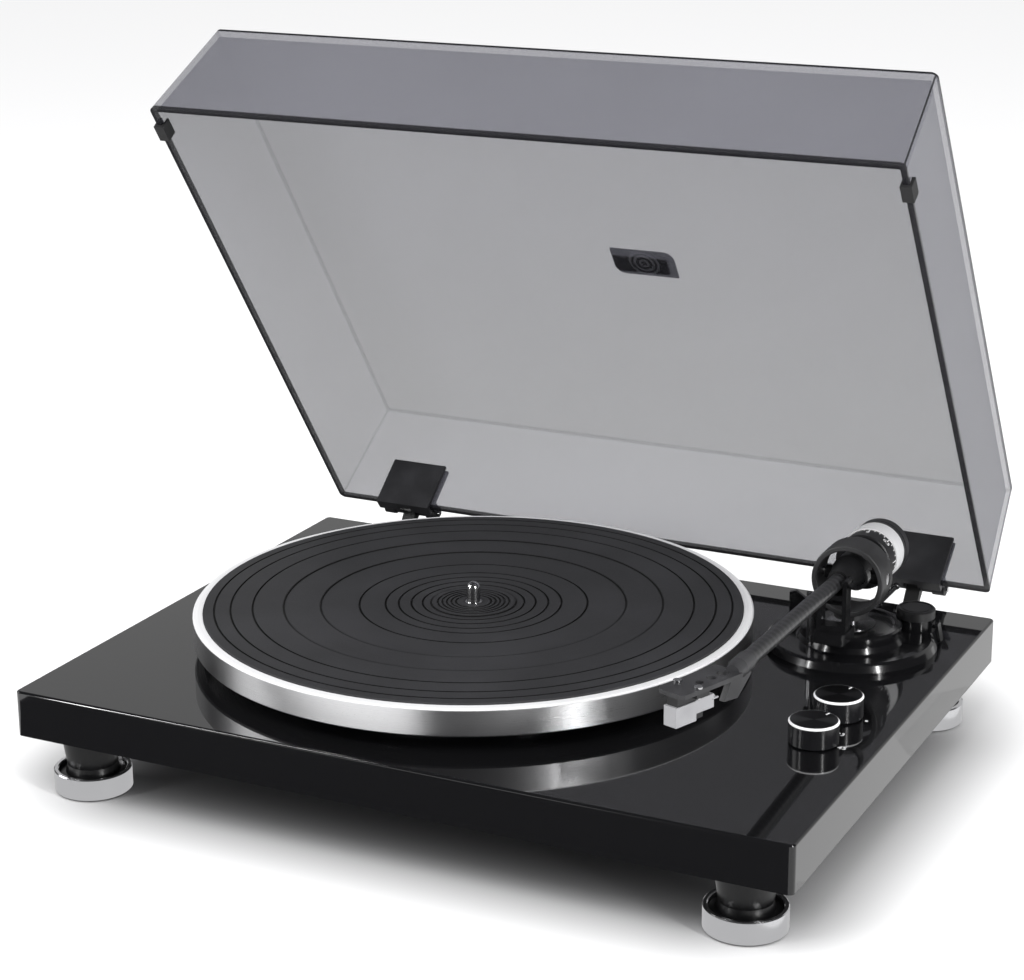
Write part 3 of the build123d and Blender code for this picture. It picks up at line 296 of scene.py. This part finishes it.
def armTurnedPaint(name, colour, rough, metal=1.0):
    # Lathe marks round the arm's own axis
    paint = Paint(name, colour, rough, metallic=metal)
    run = paint.along(armPoint, armBack)
    side = paint.along(armPoint, armRight)
    rise = paint.along(armPoint, armUp)
    away = (side * side + rise * rise) ** 0.5
    rings = paint.noise(lathe["armLines"], 2.0, paint.vector(run, away, 0.0), 0.7)
    shade = tuple(c * 0.8 for c in colour)
    paint.set("Base Color", paint.mix(rings.ramp(0.35, 0.65), shade, colour))
    paint.set("Roughness", rough - 0.04 + 0.1 * rings)
    paint.bump(rings, lathe["armDepth"], 0.6)
    return paint


def chromePaint(name, colour, rough):
    # Plating that finger grease dulls in places
    paint = Paint(name, colour, rough, metallic=1.0)
    paint.set("Roughness", rough + 0.05 * paint.noise(120.0, 3.0))
    return paint


def rubberPaint(name, colour, rough=0.75, grain=0.00008):
    # Matt, with a fine grain and paler worn patches
    paint = Paint(name, colour, rough)
    fine = paint.noise(1400.0, 3.0)
    cloud = paint.noise(14.0, 4.0)
    light = tuple(c * 1.25 for c in colour)
    paint.set("Base Color", paint.mix(cloud.ramp(0.35, 0.7), colour, light))
    paint.set("Roughness", rough - 0.08 + 0.14 * fine)
    paint.bump(fine, grain, 0.35)
    return paint


platterLook = {
    "crownLow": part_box("platter")[1][2] - 0.0012, "crownHigh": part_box("platter")[1][2] - 0.0004,
    "crownInner": 0.1425, "crownOuter": 0.1429,
    "side": [(0.60, 0.60, 0.61), (0.74, 0.74, 0.75)], "crown": [(0.66, 0.66, 0.67), (0.80, 0.80, 0.81)],
}


def paintPlatter():
    # Turned all over; the crown, the narrow ring round the mat, is blasted and pale from every side
    paint = Paint("turnedAluminium", platterLook["side"][1], 0.27, metallic=1.0)
    _, _, z = paint.xyz()
    away = paint.radius(platterMiddle)
    rings = paint.noise(lathe["lines"], 3.0, paint.vector(away, 0.0, z), 0.7)
    sweep = paint.noise(2.2, 2.0, paint.vector(paint.angle(platterMiddle), 0.0, 0.0))
    crown = z.ramp(platterLook["crownLow"], platterLook["crownHigh"])
    crown = crown * away.ramp(platterLook["crownInner"], platterLook["crownOuter"])
    side = paint.mix(rings.ramp(0.35, 0.65), *platterLook["side"])
    grain = paint.mix(rings.ramp(0.35, 0.65), *platterLook["crown"])
    paint.set("Base Color", paint.mix(crown, side, grain))
    paint.set("Metallic", 1.0 - 0.85 * crown)
    paint.set("Roughness", 0.22 + 0.08 * rings + 0.05 * sweep + 0.2 * crown)
    paint.bump(rings, lathe["depth"], 0.6)
    coat("platter", paint)


matLook = {
    "grooves": (137.0, 128.4, 116.8, 100.5, 81.0, 60.5, 46.7, 39.7, 33.0, 27.0, 22.6, 19.0, 16.6, 14.2, 11.8, 9.4),
    "grooveShadeInner": 0.0004, "grooveShadeOuter": 0.0008, "grooveShade": (0.002, 0.002, 0.002),
    "tones": [(0.020, 0.020, 0.022), (0.027, 0.027, 0.030)], "dust": (0.045, 0.045, 0.048),
}


def paintMat():
    # Painted shade: the colour is darker along the grooves
    paint = Paint("matRubber", (0.022, 0.022, 0.024), 0.62)
    away = paint.radius(platterMiddle)
    fine = paint.noise(1500.0, 3.0)
    cloud = paint.noise(18.0, 4.0)
    swirl = paint.noise(420.0, 2.0, paint.vector(away, 0.0, 0.0), 0.6)
    tone = paint.mix(cloud.ramp(0.3, 0.75), *matLook["tones"])
    dust = (fine * swirl).ramp(0.3, 0.5)
    pale = paint.mix(dust * 0.35, tone, matLook["dust"])
    nearest = 1.0
    for radius in matLook["grooves"]:
        nearest = abs(away - radius * mm).least(nearest)
    # painted groove shade: 0 on a groove, 1 clear of it
    clear = nearest.ramp(matLook["grooveShadeInner"], matLook["grooveShadeOuter"])
    paint.set("Base Color", paint.mix(clear, matLook["grooveShade"], pale))
    paint.set("Roughness", 0.55 + 0.16 * fine)
    paint.bump(fine * 0.6 + swirl * 0.4, 0.00005, 0.35)
    coat("slipmat", paint)


tubeWeave = {
    "pitch": 5.2 * mm, "cell": 1.15 * mm, "strands": 18.0, "rise": 1.3 * mm, "relief": 0.00012,
    "bands": [(0.005, 0.005, 0.0055), (0.024, 0.024, 0.026)], "thread": (0.034, 0.034, 0.036),
}


def paintTube():
    # Woven fibre under clear lacquer: slanted bands, and a fine twill inside them
    paint = Paint("wovenTube", (0.03, 0.03, 0.033), 0.35, coat_weight=0.25)
    run = paint.along(armPoint, armBack)
    side = paint.along(armPoint, armRight)
    rise = paint.along(armPoint, armUp) - tubeWeave["rise"]
    turn = rise.math("ARCTAN2", side)
    band = (run * (2 * pi / tubeWeave["pitch"]) + turn).sine()
    cell, strands = run * (2 * pi / tubeWeave["cell"]), turn * tubeWeave["strands"]
    first, second = (cell + strands).sine(), (cell - strands).sine()
    twill = (first * second).ramp(-0.4, 0.4)
    wrap = band.ramp(-0.7, 0.8)
    tone = paint.mix(wrap, *tubeWeave["bands"])
    paint.set("Base Color", paint.mix(twill * 0.25, tone, tubeWeave["thread"]))
    paint.set("Roughness", 0.3 + 0.15 * twill)
    paint.bump(wrap * 0.7 + twill * 0.3, tubeWeave["relief"], 0.5)
    coat("arm_tube", paint)


knobCap = {
    "colour": (0.10, 0.10, 0.105), "rough": 0.3, "rays": 2.0, "turn": 0.9, "rimInner": 0.0115, "rimOuter": 0.0118,
    "highlightSectors": [(0.035, 0.035, 0.038), (0.17, 0.17, 0.175)], "rim": (0.85, 0.85, 0.86), "dark": (0.02, 0.02, 0.02),
}


def paintKnobCap(name, centre):
    # Spun metal, with a painted highlight: two bright sectors in the colour stand in for the light that the
    # brushing turns
    paint = Paint(name + "Spun", knobCap["colour"], knobCap["rough"], metallic=1.0)
    away = paint.radius(centre)
    rings = paint.noise(7000.0, 2.0, paint.vector(away, 0.0, 0.0), 0.7)
    # painted highlight: two bright sectors round the cap
    highlightSector = (paint.angle(centre) * knobCap["rays"] + knobCap["turn"]).sine().ramp(0.2, 1.0)
    rim = away.ramp(knobCap["rimInner"], knobCap["rimOuter"])
    flat = paint.mix(rings * 0.4, paint.mix(highlightSector, *knobCap["highlightSectors"]), knobCap["dark"])
    paint.set("Base Color", paint.mix(rim, flat, knobCap["rim"]))
    paint.set("Metallic", 1.0 - 0.8 * rim)
    paint.set("Roughness", 0.26 + 0.12 * rings)
    paint.bump(rings, 0.00002, 0.5)
    coat(name, paint)


cover = {
    "hinge": (0.1442097, 0.0629), "angle": radians(54.96), "rim": (0.0089, 0.00465),
    "halfWidth": 0.2048, "depth": 0.3256, "height": 0.0682,
    "sideTaper": 0.0047, "frontLean": 0.0065, "rearLean": 0.0046,
    "line": 0.0017, "rimLine": 0.0022, "alpha": 0.50, "lineAlpha": 0.93, "faintShare": 0.22,
    "colour": (0.12, 0.12, 0.14), "paintedEdgeColour": (0.012, 0.012, 0.014),
    "badge": (0.0133, -0.1667, 0.0160, 0.0060), "badgeShare": 0.85,
}


def paintCover():
    # Smoked clear plastic; the dark look that light through its thickness gives at edges and folds is painted as
    # dark lines in the colour.
    # The five walls are found from a place that is turned into the cover's own frame.
    paint = Paint("smokedCover", cover["colour"], 0.08, ior=1.49)
    x, y, z = paint.xyz()
    c, s = cos(cover["angle"]), sin(cover["angle"])
    dy, dz = y - cover["hinge"][0], z - cover["hinge"][1]
    run = dy * c - dz * s + cover["rim"][0]
    rise = dy * s + dz * c + cover["rim"][1]
    share = rise * (1.0 / cover["height"])
    left = cover["halfWidth"] - share * cover["sideTaper"] + x
    right = cover["halfWidth"] - share * cover["sideTaper"] - x
    side = left.least(right)
    front = run + cover["depth"] - share * cover["frontLean"]
    rear = share * (-cover["rearLean"]) - run
    top = cover["height"] - rise
    width = cover["line"]
    strong = side.most(front).least(top.most(front)).least(right.most(rear)).least(top.most(right))
    faint = top.most(rear).least(left.most(rear)).least(top.most(left))
    rimWidth = cover["rimLine"]
    # painted edge shade: dark lines along the edges, folds and rim
    line = (1.0 - strong.ramp(width * 0.7, width)).most(1.0 - rise.ramp(rimWidth * 0.7, rimWidth))
    line = line.most((1.0 - faint.ramp(width * 0.6, width * 1.2)) * cover["faintShare"])
    haze = paint.noise(6.0, 3.0)
    tone = paint.mix(haze.ramp(0.3, 0.7), cover["colour"], tuple(v * 1.12 for v in cover["colour"]))
    paint.set("Base Color", paint.mix(line, tone, cover["paintedEdgeColour"]))
    badgeX, badgeRun, wide, deep = cover["badge"]
    window = (abs(x - badgeX) < wide) * (abs(run - badgeRun) < deep)  # clearer over the badge
    solid = cover["alpha"] + line * (cover["lineAlpha"] - cover["alpha"])
    paint.set("Alpha", solid * (1.0 - cover["badgeShare"] * window))
    paint.set("Roughness", 0.16 + 0.08 * haze)
    paint.set("Specular IOR Level", 0.2)
    coat("dust_cover", paint)


def paintNodes():
    paintPlinth()
    paintMat()
    paintTube()
    paintCover()
    paintKnobCap("front_knob_cap", frontKnobMiddle)
    paintKnobCap("back_knob_cap", backKnobMiddle)
    paintPlatter()
    coat("spindle spindle_bush thrust_ball",
         turnedPaint("turnedSteel", (0.74, 0.74, 0.75), 0.16, platterMiddle))
    coat("foot_stems", plasticPaint("footPlastic", (0.004, 0.004, 0.0045), 0.3))
    coat("foot_rings", chromePaint("footChrome", (0.80, 0.80, 0.82), 0.16))
    coat("foot_pads cover_bumpers drive_belt", rubberPaint("blackRubber", (0.014, 0.014, 0.015)))
    coat("bottom_cover socket_plate power_inlet switch_bodies board_components motor_plate",
         plasticPaint("caseBlack", (0.016, 0.016, 0.017), 0.5, 0.00008))
    coat("front_knob back_knob", plasticPaint("knobBlack", (0.008, 0.008, 0.009), 0.2, 0.00002))
    coat("arm_base", glossPaint("baseGlossBlack", (0.004, 0.004, 0.0045), 0.13))
    coat("arm_bearing_housing arm_bearings swing_shaft cue_housing motor_shaft",
         turnedPaint("turnedGrey", (0.35, 0.35, 0.36), 0.25, swingMiddle))
    coat("motor motor_pulley", turnedPaint("motorSilver", (0.6, 0.6, 0.61), 0.3, middle("motor")))
    coat("circuit_board", plasticPaint("boardGreen", (0.02, 0.09, 0.04), 0.35))
    coat("board_posts phono_sockets", chromePaint("goldPlate", (0.83, 0.62, 0.28), 0.14))
    coat("armrest_post armrest_clip lock_lever",
         plasticPaint("armrestBlack", (0.005, 0.005, 0.0055), 0.22, 0.00003))
    coat("cue_lift cue_lever", plasticPaint("leverBlack", (0.010, 0.010, 0.011), 0.2, 0.00002))
    coat("anti_skate_knob", plasticPaint("skateGrey", (0.008, 0.008, 0.0085), 0.34))
    coat("gimbal_ring", plasticPaint("gimbalSatin", (0.022, 0.022, 0.023), 0.42, 0.00003))
    coat("arm_hub", plasticPaint("hubSatin", (0.006, 0.006, 0.0065), 0.33, 0.00003))
    coat("pivot_screws headshell_screws case_screws", chromePaint("screwSteel", (0.62, 0.62, 0.63), 0.2))
    coat("hinge_pins badge_rings", chromePaint("brightPin", (0.8, 0.8, 0.81), 0.1))
    coat("weight_stub", armTurnedPaint("stubSteel", (0.6, 0.6, 0.61), 0.25))
    coat("weight_band", armTurnedPaint("bandSilver", (0.88, 0.88, 0.89), 0.42, 0.35))
    coat("counterweight weight_sleeve", armTurnedPaint("weightBlack", (0.02, 0.02, 0.022), 0.3, 0.0))
    coat("force_dial", armTurnedPaint("dialBlack", (0.010, 0.010, 0.011), 0.35, 0.0))
    coat("headshell", plasticPaint("shellGrey", (0.026, 0.026, 0.028), 0.42, 0.00006))
    coat("cartridge_mount stylus", plasticPaint("pickupBlack", (0.012, 0.012, 0.013), 0.35))
    coat("cartridge_body",
         plasticPaint("pickupSilver", (0.27, 0.27, 0.28), 0.4, 0.00002, spread=0.08))
    coat("cover_badge", glossPaint("badgeBlack", (0.006, 0.006, 0.0065)))
    coat("hinge_brackets", plasticPaint("bracketBlack", (0.010, 0.010, 0.010), 0.3))
    coat("hinge_clips hinge_washers", plasticPaint("hingeBlack", (0.020, 0.020, 0.022), 0.45, 0.00006))


paintNodes()
print("nodes painted")


# Small pieces that the solids leave to the looks

def addMesh(name, corners, faces, paint, body, slot):
    data = bpy.data.meshes.new(name)
    data.from_pydata([tuple(p) for p in corners], [], faces)
    work = bmesh.new()
    work.from_mesh(data)
    bmesh.ops.remove_doubles(work, verts=work.verts, dist=1e-7)
    bmesh.ops.recalc_face_normals(work, faces=work.faces)
    work.to_mesh(data)
    work.free()
    thing = bpy.data.objects.new(name, data)
    bpy.context.scene.collection.objects.link(thing)
    data.materials.append(paint.material)
    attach(thing, body)
    return thing


def slab(outline, thickness, place):
    # A closed plate over a flat outline; place turns (x, y, height) into a point
    count = len(outline)
    corners = [place(x, y, h) for h in (0.0, thickness) for x, y in outline]
    faces = [list(range(count))[::-1], list(range(count, 2 * count))]
    faces += [[i, (i + 1) % count, count + (i + 1) % count, count + i] for i in range(count)]
    return corners, faces


def joined(shapes):
    corners, faces = [], []
    for points, sides in shapes:
        start = len(corners)
        corners += points
        faces += [[start + i for i in side] for side in sides]
    return corners, faces


def bar(x0, x1, y0, y1):
    return [(x0, y0), (x1, y0), (x1, y1), (x0, y1)]


def disc(radius, x=0.0, y=0.0, steps=20):
    turns = [2 * pi * i / steps for i in range(steps)]
    return [(x + radius * cos(t), y + radius * sin(t)) for t in turns]


def figures(text, size):
    # The flat mesh of some numbers, as (corners, triangles), centred
    curve = bpy.data.curves.new("figure", "FONT")
    curve.body, curve.size = text, size
    curve.align_x, curve.align_y = "CENTER", "CENTER"
    curve.resolution_u = 3
    thing = bpy.data.objects.new("figure", curve)
    bpy.context.scene.collection.objects.link(thing)
    bpy.context.view_layer.update()
    data = bpy.data.meshes.new_from_object(thing)
    corners = [(v.co.x, v.co.y) for v in data.vertices]
    faces = [list(p.vertices) for p in data.polygons]
    bpy.data.objects.remove(thing)
    bpy.data.meshes.remove(data)
    return corners, faces


def printed(flat, height, place):
    # Flat print with its own small thickness
    corners, faces = flat
    count = len(corners)
    points = [place(x, y, h) for h in (0.0, height) for x, y in corners]
    sides = [f[::-1] for f in faces] + [[i + count for i in f] for f in faces]
    edges = {}
    for f in faces:
        for a, b in zip(f, f[1:] + f[:1]):
            edges[(a, b)] = edges.get((a, b), 0) + 1
    for a, b in edges:
        if (b, a) not in edges:
            sides.append([a, b, b + count, a + count])
    return points, sides


whitePrint = Paint("whitePrint", (0.75, 0.75, 0.76), 0.5)
whitePrint.set("Roughness", 0.42 + 0.16 * whitePrint.noise(500.0))
printHeight = 0.06 * mm


def onDeck(middlePoint):
    def place(x, y, h):
        return (middlePoint[0] + x, middlePoint[1] + y, deckTop + h)
    return place


deckMarks = {
    "speeds": [("33", (0.18713, -0.06138)), ("45", (0.19331, -0.07702))], "figure": 4.6 * mm,
    "level": (0.19316, -0.04013), "levelRadius": 0.8 * mm,
}


def makeDeckMarks():
    shapes = []
    for text, place in deckMarks["speeds"]:
        shapes.append(printed(figures(text, deckMarks["figure"]), printHeight, onDeck(place)))
    dot = disc(deckMarks["levelRadius"])
    shapes.append(slab(dot, printHeight, onDeck(deckMarks["level"])))
    addMesh("deckFigures", *joined(shapes), whitePrint, "case", "pad_rubber")


knobMark = {
    "length": 2.6 * mm, "width": 0.7 * mm, "edge": 11.2 * mm,
    "turns": {"front": 68.0, "back": 74.0},
}


def makeKnobMarks():
    for side, centre in (("front", frontKnobMiddle), ("back", backKnobMiddle)):
        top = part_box(side + "_knob_cap")[1][2]
        turn = radians(knobMark["turns"][side])

        def place(x, y, h):
            across, over = x * cos(turn) - y * sin(turn), x * sin(turn) + y * cos(turn)
            return (centre[0] + across, centre[1] + over, top + h)

        inner = knobMark["edge"] - knobMark["length"]
        half = knobMark["width"] / 2
        shape = slab(bar(inner, knobMark["edge"], -half, half), printHeight, place)
        addMesh(side + "KnobMark", *shape, whitePrint, side + "_knob", "knob_black")


dialScale = {
    "radius": 14.9 * mm, "near": 16.5 * mm, "width": 12.0 * mm, "steps": 32,
    "tick": 0.5 * mm, "short": 1.6 * mm, "long": 3.2 * mm, "margin": 0.3 * mm,
    "numbers": ("0", "0.5", "1", "1.5", "2", "2.5", "3", "3.5"), "figure": 3.9 * mm, "line": 7.4 * mm,
}


def makeDialScale():
    # Ticks and plain numbers round the dial
    radius = dialScale["radius"]

    def placeAt(turn):
        def place(x, y, h):
            swing = turn + x / radius
            out = radius + h
            return (armPoint + armRight * (out * sin(swing)) + armUp * (out * cos(swing))
                    + armBack * (dialScale["near"] + y))
        return place

    shapes = []
    half = dialScale["tick"] / 2
    for step in range(dialScale["steps"]):
        turn = 2 * pi * step / dialScale["steps"]
        reach = dialScale["long"] if step % 4 == 0 else dialScale["short"]
        far = dialScale["width"] - dialScale["margin"]
        shapes.append(slab(bar(-half, half, far - reach, far), printHeight, placeAt(turn)))
    for count, number in enumerate(dialScale["numbers"]):
        turn = 2 * pi * count / len(dialScale["numbers"])
        flat, faces = figures(number, dialScale["figure"])
        moved = [(x, y + dialScale["line"]) for x, y in flat]
        shapes.append(printed((moved, faces), printHeight, placeAt(turn)))
    addMesh("dialFigures", *joined(shapes), whitePrint, "force_dial", "band_silver")


crossHead = {
    "width": 0.45 * mm, "reach": 1.3 * mm, "raise": 0.03 * mm, "sink": 0.12 * mm,
    "share": 0.3, "largest": 6 * mm,
}
# painted shade: dark crosses stand in for the shaded cross recesses in the screw heads
crossShade = Paint("screwRecessShade", (0.01, 0.01, 0.01), 0.6)
crossShade.set("Roughness", 0.5 + 0.2 * crossShade.noise(700.0))


def crossAt(point, first, second, outward, reach):
    half = crossHead["width"] / 2

    def place(x, y, h):
        return point + first * x + second * y + outward * h

    return [slab(bar(-reach, reach, -half, half), crossHead["raise"], place),
            slab(bar(-half, half, -reach, reach), crossHead["raise"] * 1.05, place)]


def islands(name):
    # The separate solids of a node, each as its lowest and highest corner
    data = nodes[name].data
    parent = list(range(len(data.vertices)))

    def root(i):
        while parent[i] != i:
            parent[i] = parent[parent[i]]
            i = parent[i]
        return i

    seen = {}
    for v in data.vertices:
        key = tuple(round(c, 6) for c in v.co)
        if key in seen:
            parent[root(v.index)] = root(seen[key])
        seen[key] = v.index
    for e in data.edges:
        a, b = root(e.vertices[0]), root(e.vertices[1])
        if a != b:
            parent[a] = b
    groups = {}
    for v in data.vertices:
        groups.setdefault(root(v.index), []).append(v.co)
    found = []
    for points in groups.values():
        low = Vector([min(p[i] for p in points) for i in range(3)])
        high = Vector([max(p[i] for p in points) for i in range(3)])
        found.append((low, high))
    return sorted(found, key=lambda pair: tuple(pair[0]))


def makeCrosses():
    shapes = []
    for low, high in islands("headshell_screws"):
        centre = (low + high) / 2
        tilt = Vector((0, 0, 1)) - armBack * armBack.z
        out = tilt.normalized()
        across = out.cross(armBack).normalized()
        top = centre + out * ((high.z - low.z) / 2 - crossHead["sink"])
        shapes += crossAt(top, across, armBack, out, crossHead["reach"])
    addMesh("headScrewCrosses", *joined(shapes), crossShade, "tonearm", "screw_steel")
    shapes = []
    for low, high in islands("case_screws"):
        size = high - low
        centre = (low + high) / 2
        if size.z > size.y and size.z > size.x:
            down = Vector((0, 0, -1))
            spot = Vector((centre.x, centre.y, low.z))
            reach = min(size.x, crossHead["largest"]) * crossHead["share"]
            shapes += crossAt(spot, Vector((1, 0, 0)), Vector((0, -1, 0)), down, reach)
        else:
            spot = Vector((centre.x, high.y, centre.z))
            reach = size.x * crossHead["share"]
            shapes += crossAt(spot, Vector((1, 0, 0)), Vector((0, 0, 1)), Vector((0, 1, 0)), reach)
    addMesh("caseScrewCrosses", *joined(shapes), crossShade, "case", "screw_steel")


makeDeckMarks()
makeKnobMarks()
makeDialScale()
makeCrosses()
print("small pieces made")


# Stage: pale floor, soft lights

stage = {
    "floor": 6.0, "colour": (0.93, 0.93, 0.935),
    "under": (0.10, 0.10, 0.103), "halfWide": 0.15, "halfDeep": 0.10, "forward": 0.03, "shade": 0.13,
}


def makeFloor():
    # Painted contact shadow: the floor colour is darker under the player
    size = stage["floor"]
    data = bpy.data.meshes.new("floor")
    corners = [(-size, -size, 0), (size, -size, 0), (size, size, 0), (-size, size, 0)]
    data.from_pydata(corners, [], [(0, 1, 2, 3)])
    floor = bpy.data.objects.new("floor", data)
    bpy.context.scene.collection.objects.link(floor)
    paint = Paint("paleFloor", stage["colour"], 0.9)
    paint.set("Specular IOR Level", 0.0)
    x, y, _ = paint.xyz()
    besideX = (abs(x) - stage["halfWide"]).most(0.0)
    besideY = (abs(y + stage["forward"]) - stage["halfDeep"]).most(0.0)
    # painted shadow: floor colour darkens towards the player's footprint
    under = 1.0 - ((besideX * besideX + besideY * besideY) ** 0.5).ramp(0.0, stage["shade"])
    paint.set("Base Color", paint.mix(under, stage["colour"], stage["under"]))
    data.materials.append(paint.material)
    floor.visible_glossy = False


sky = {"open": (1.0, 1.0, 1.0), "shine": (0.05, 0.05, 0.052), "fill": 0.95}


def makeSky():
    # Even pale light all round; shiny surfaces see a dark room with the lamps in it
    world = bpy.data.worlds.new("studio")
    bpy.context.scene.world = world
    world.use_nodes = True
    tree = world.node_tree
    tree.nodes.clear()
    path = tree.nodes.new("ShaderNodeLightPath")
    pale = tree.nodes.new("ShaderNodeBackground")
    pale.inputs[0].default_value = (*sky["open"], 1.0)
    pale.inputs[1].default_value = 1.0
    dark = tree.nodes.new("ShaderNodeBackground")
    dark.inputs[0].default_value = (*sky["shine"], 1.0)
    soft = tree.nodes.new("ShaderNodeBackground")
    soft.inputs[0].default_value = (*sky["open"], 1.0)
    soft.inputs[1].default_value = sky["fill"]
    first = tree.nodes.new("ShaderNodeMixShader")
    second = tree.nodes.new("ShaderNodeMixShader")
    out = tree.nodes.new("ShaderNodeOutputWorld")
    link = tree.links.new
    link(path.outputs["Is Glossy Ray"], first.inputs[0])
    link(soft.outputs[0], first.inputs[1])
    link(dark.outputs[0], first.inputs[2])
    link(path.outputs["Is Camera Ray"], second.inputs[0])
    link(first.outputs[0], second.inputs[1])
    link(pale.outputs[0], second.inputs[2])
    link(second.outputs[0], out.inputs[0])


lamps = [
    # name, degrees to the right of the camera, distance, height, width, tall, watts, aims at height
    ("stripRight", 37.0, 1.35, 0.62, 0.05, 1.2, 14.0, 0.45),
    ("stripLeft", -62.0, 1.35, 0.62, 0.05, 1.2, 7.0, 0.45),
    ("softTop", -30.0, 0.9, 1.7, 1.4, 1.0, 16.0, 0.05),
    ("softLeft", -95.0, 1.7, 0.75, 0.7, 0.8, 7.0, 0.10),
    ("softRight", 80.0, 1.8, 0.8, 0.8, 0.8, 6.0, 0.10),
]


def makeLamps():
    az = camera["azimuth"]
    toCamera = Vector((sin(az), -cos(az), 0.0))
    toRight = Vector((cos(az), sin(az), 0.0))
    for name, turn, distance, height, width, tall, watts, aim in lamps:
        a = radians(turn)
        spot = (toCamera * cos(a) + toRight * sin(a)) * distance + Vector((0, 0, height))
        data = bpy.data.lights.new(name, "AREA")
        data.shape = "RECTANGLE"
        data.size, data.size_y, data.energy = width, tall, watts
        lamp = bpy.data.objects.new(name, data)
        bpy.context.scene.collection.objects.link(lamp)
        look = Vector((0, 0, aim)) - spot
        lamp.matrix_world = Matrix.Translation(spot) @ look.to_track_quat("-Z", "Y").to_matrix().to_4x4()
        lamp.visible_camera = False
        lamp.visible_glossy = name not in ("softTop", "softRight")


footGlow = {"feet": ((-0.18, -0.1665), (0.18, -0.1665), (0.18, 0.1055)), "radius": 0.075, "glow": 0.55}


def lowCard(*corners):
    return [(x, y, 1 * mm) for x, y in corners]


cards = [
    # name, corners, glow; only shiny surfaces see them
    ("floorGlow", lowCard((0.212, -0.9), (3.0, -0.9), (3.0, 3.0), (0.212, 3.0)), 0.95),
    ("platterGlow", lowCard(
        (0.03, -0.308), (-0.15, -0.308), (-0.285, -0.30), (-0.285, -0.20),
        (-0.24, -0.15), (-0.8, -0.10), (-0.8, -0.70), (0.03, -0.70)), 1.6),
    ("backGlow", [(-8.0, 3.2, 0.0), (3.0, 3.2, 0.0), (3.0, 3.2, 3.5), (-8.0, 3.2, 3.5)], 0.5),
]
for footX, footY in footGlow["feet"]:
    cards.append(("footGlow", lowCard(*disc(footGlow["radius"], footX, footY, 16)), footGlow["glow"]))


def makeCards():
    for name, corners, glow in cards:
        data = bpy.data.meshes.new(name)
        data.from_pydata(corners, [], [tuple(range(len(corners)))])
        card = bpy.data.objects.new(name, data)
        bpy.context.scene.collection.objects.link(card)
        paint = Paint(name, (0.0, 0.0, 0.0), 1.0, emission_strength=glow)
        paint.set("Specular IOR Level", 0.0)
        paint.set("Emission Color", (1.0, 1.0, 1.0, 1.0))
        data.materials.append(paint.material)
        card.visible_camera = card.visible_diffuse = card.visible_shadow = False
        card.visible_transmission = False


makeFloor()
makeSky()
makeLamps()
makeCards()
bpy.context.scene.view_settings.view_transform = "Standard"
print("stage set")
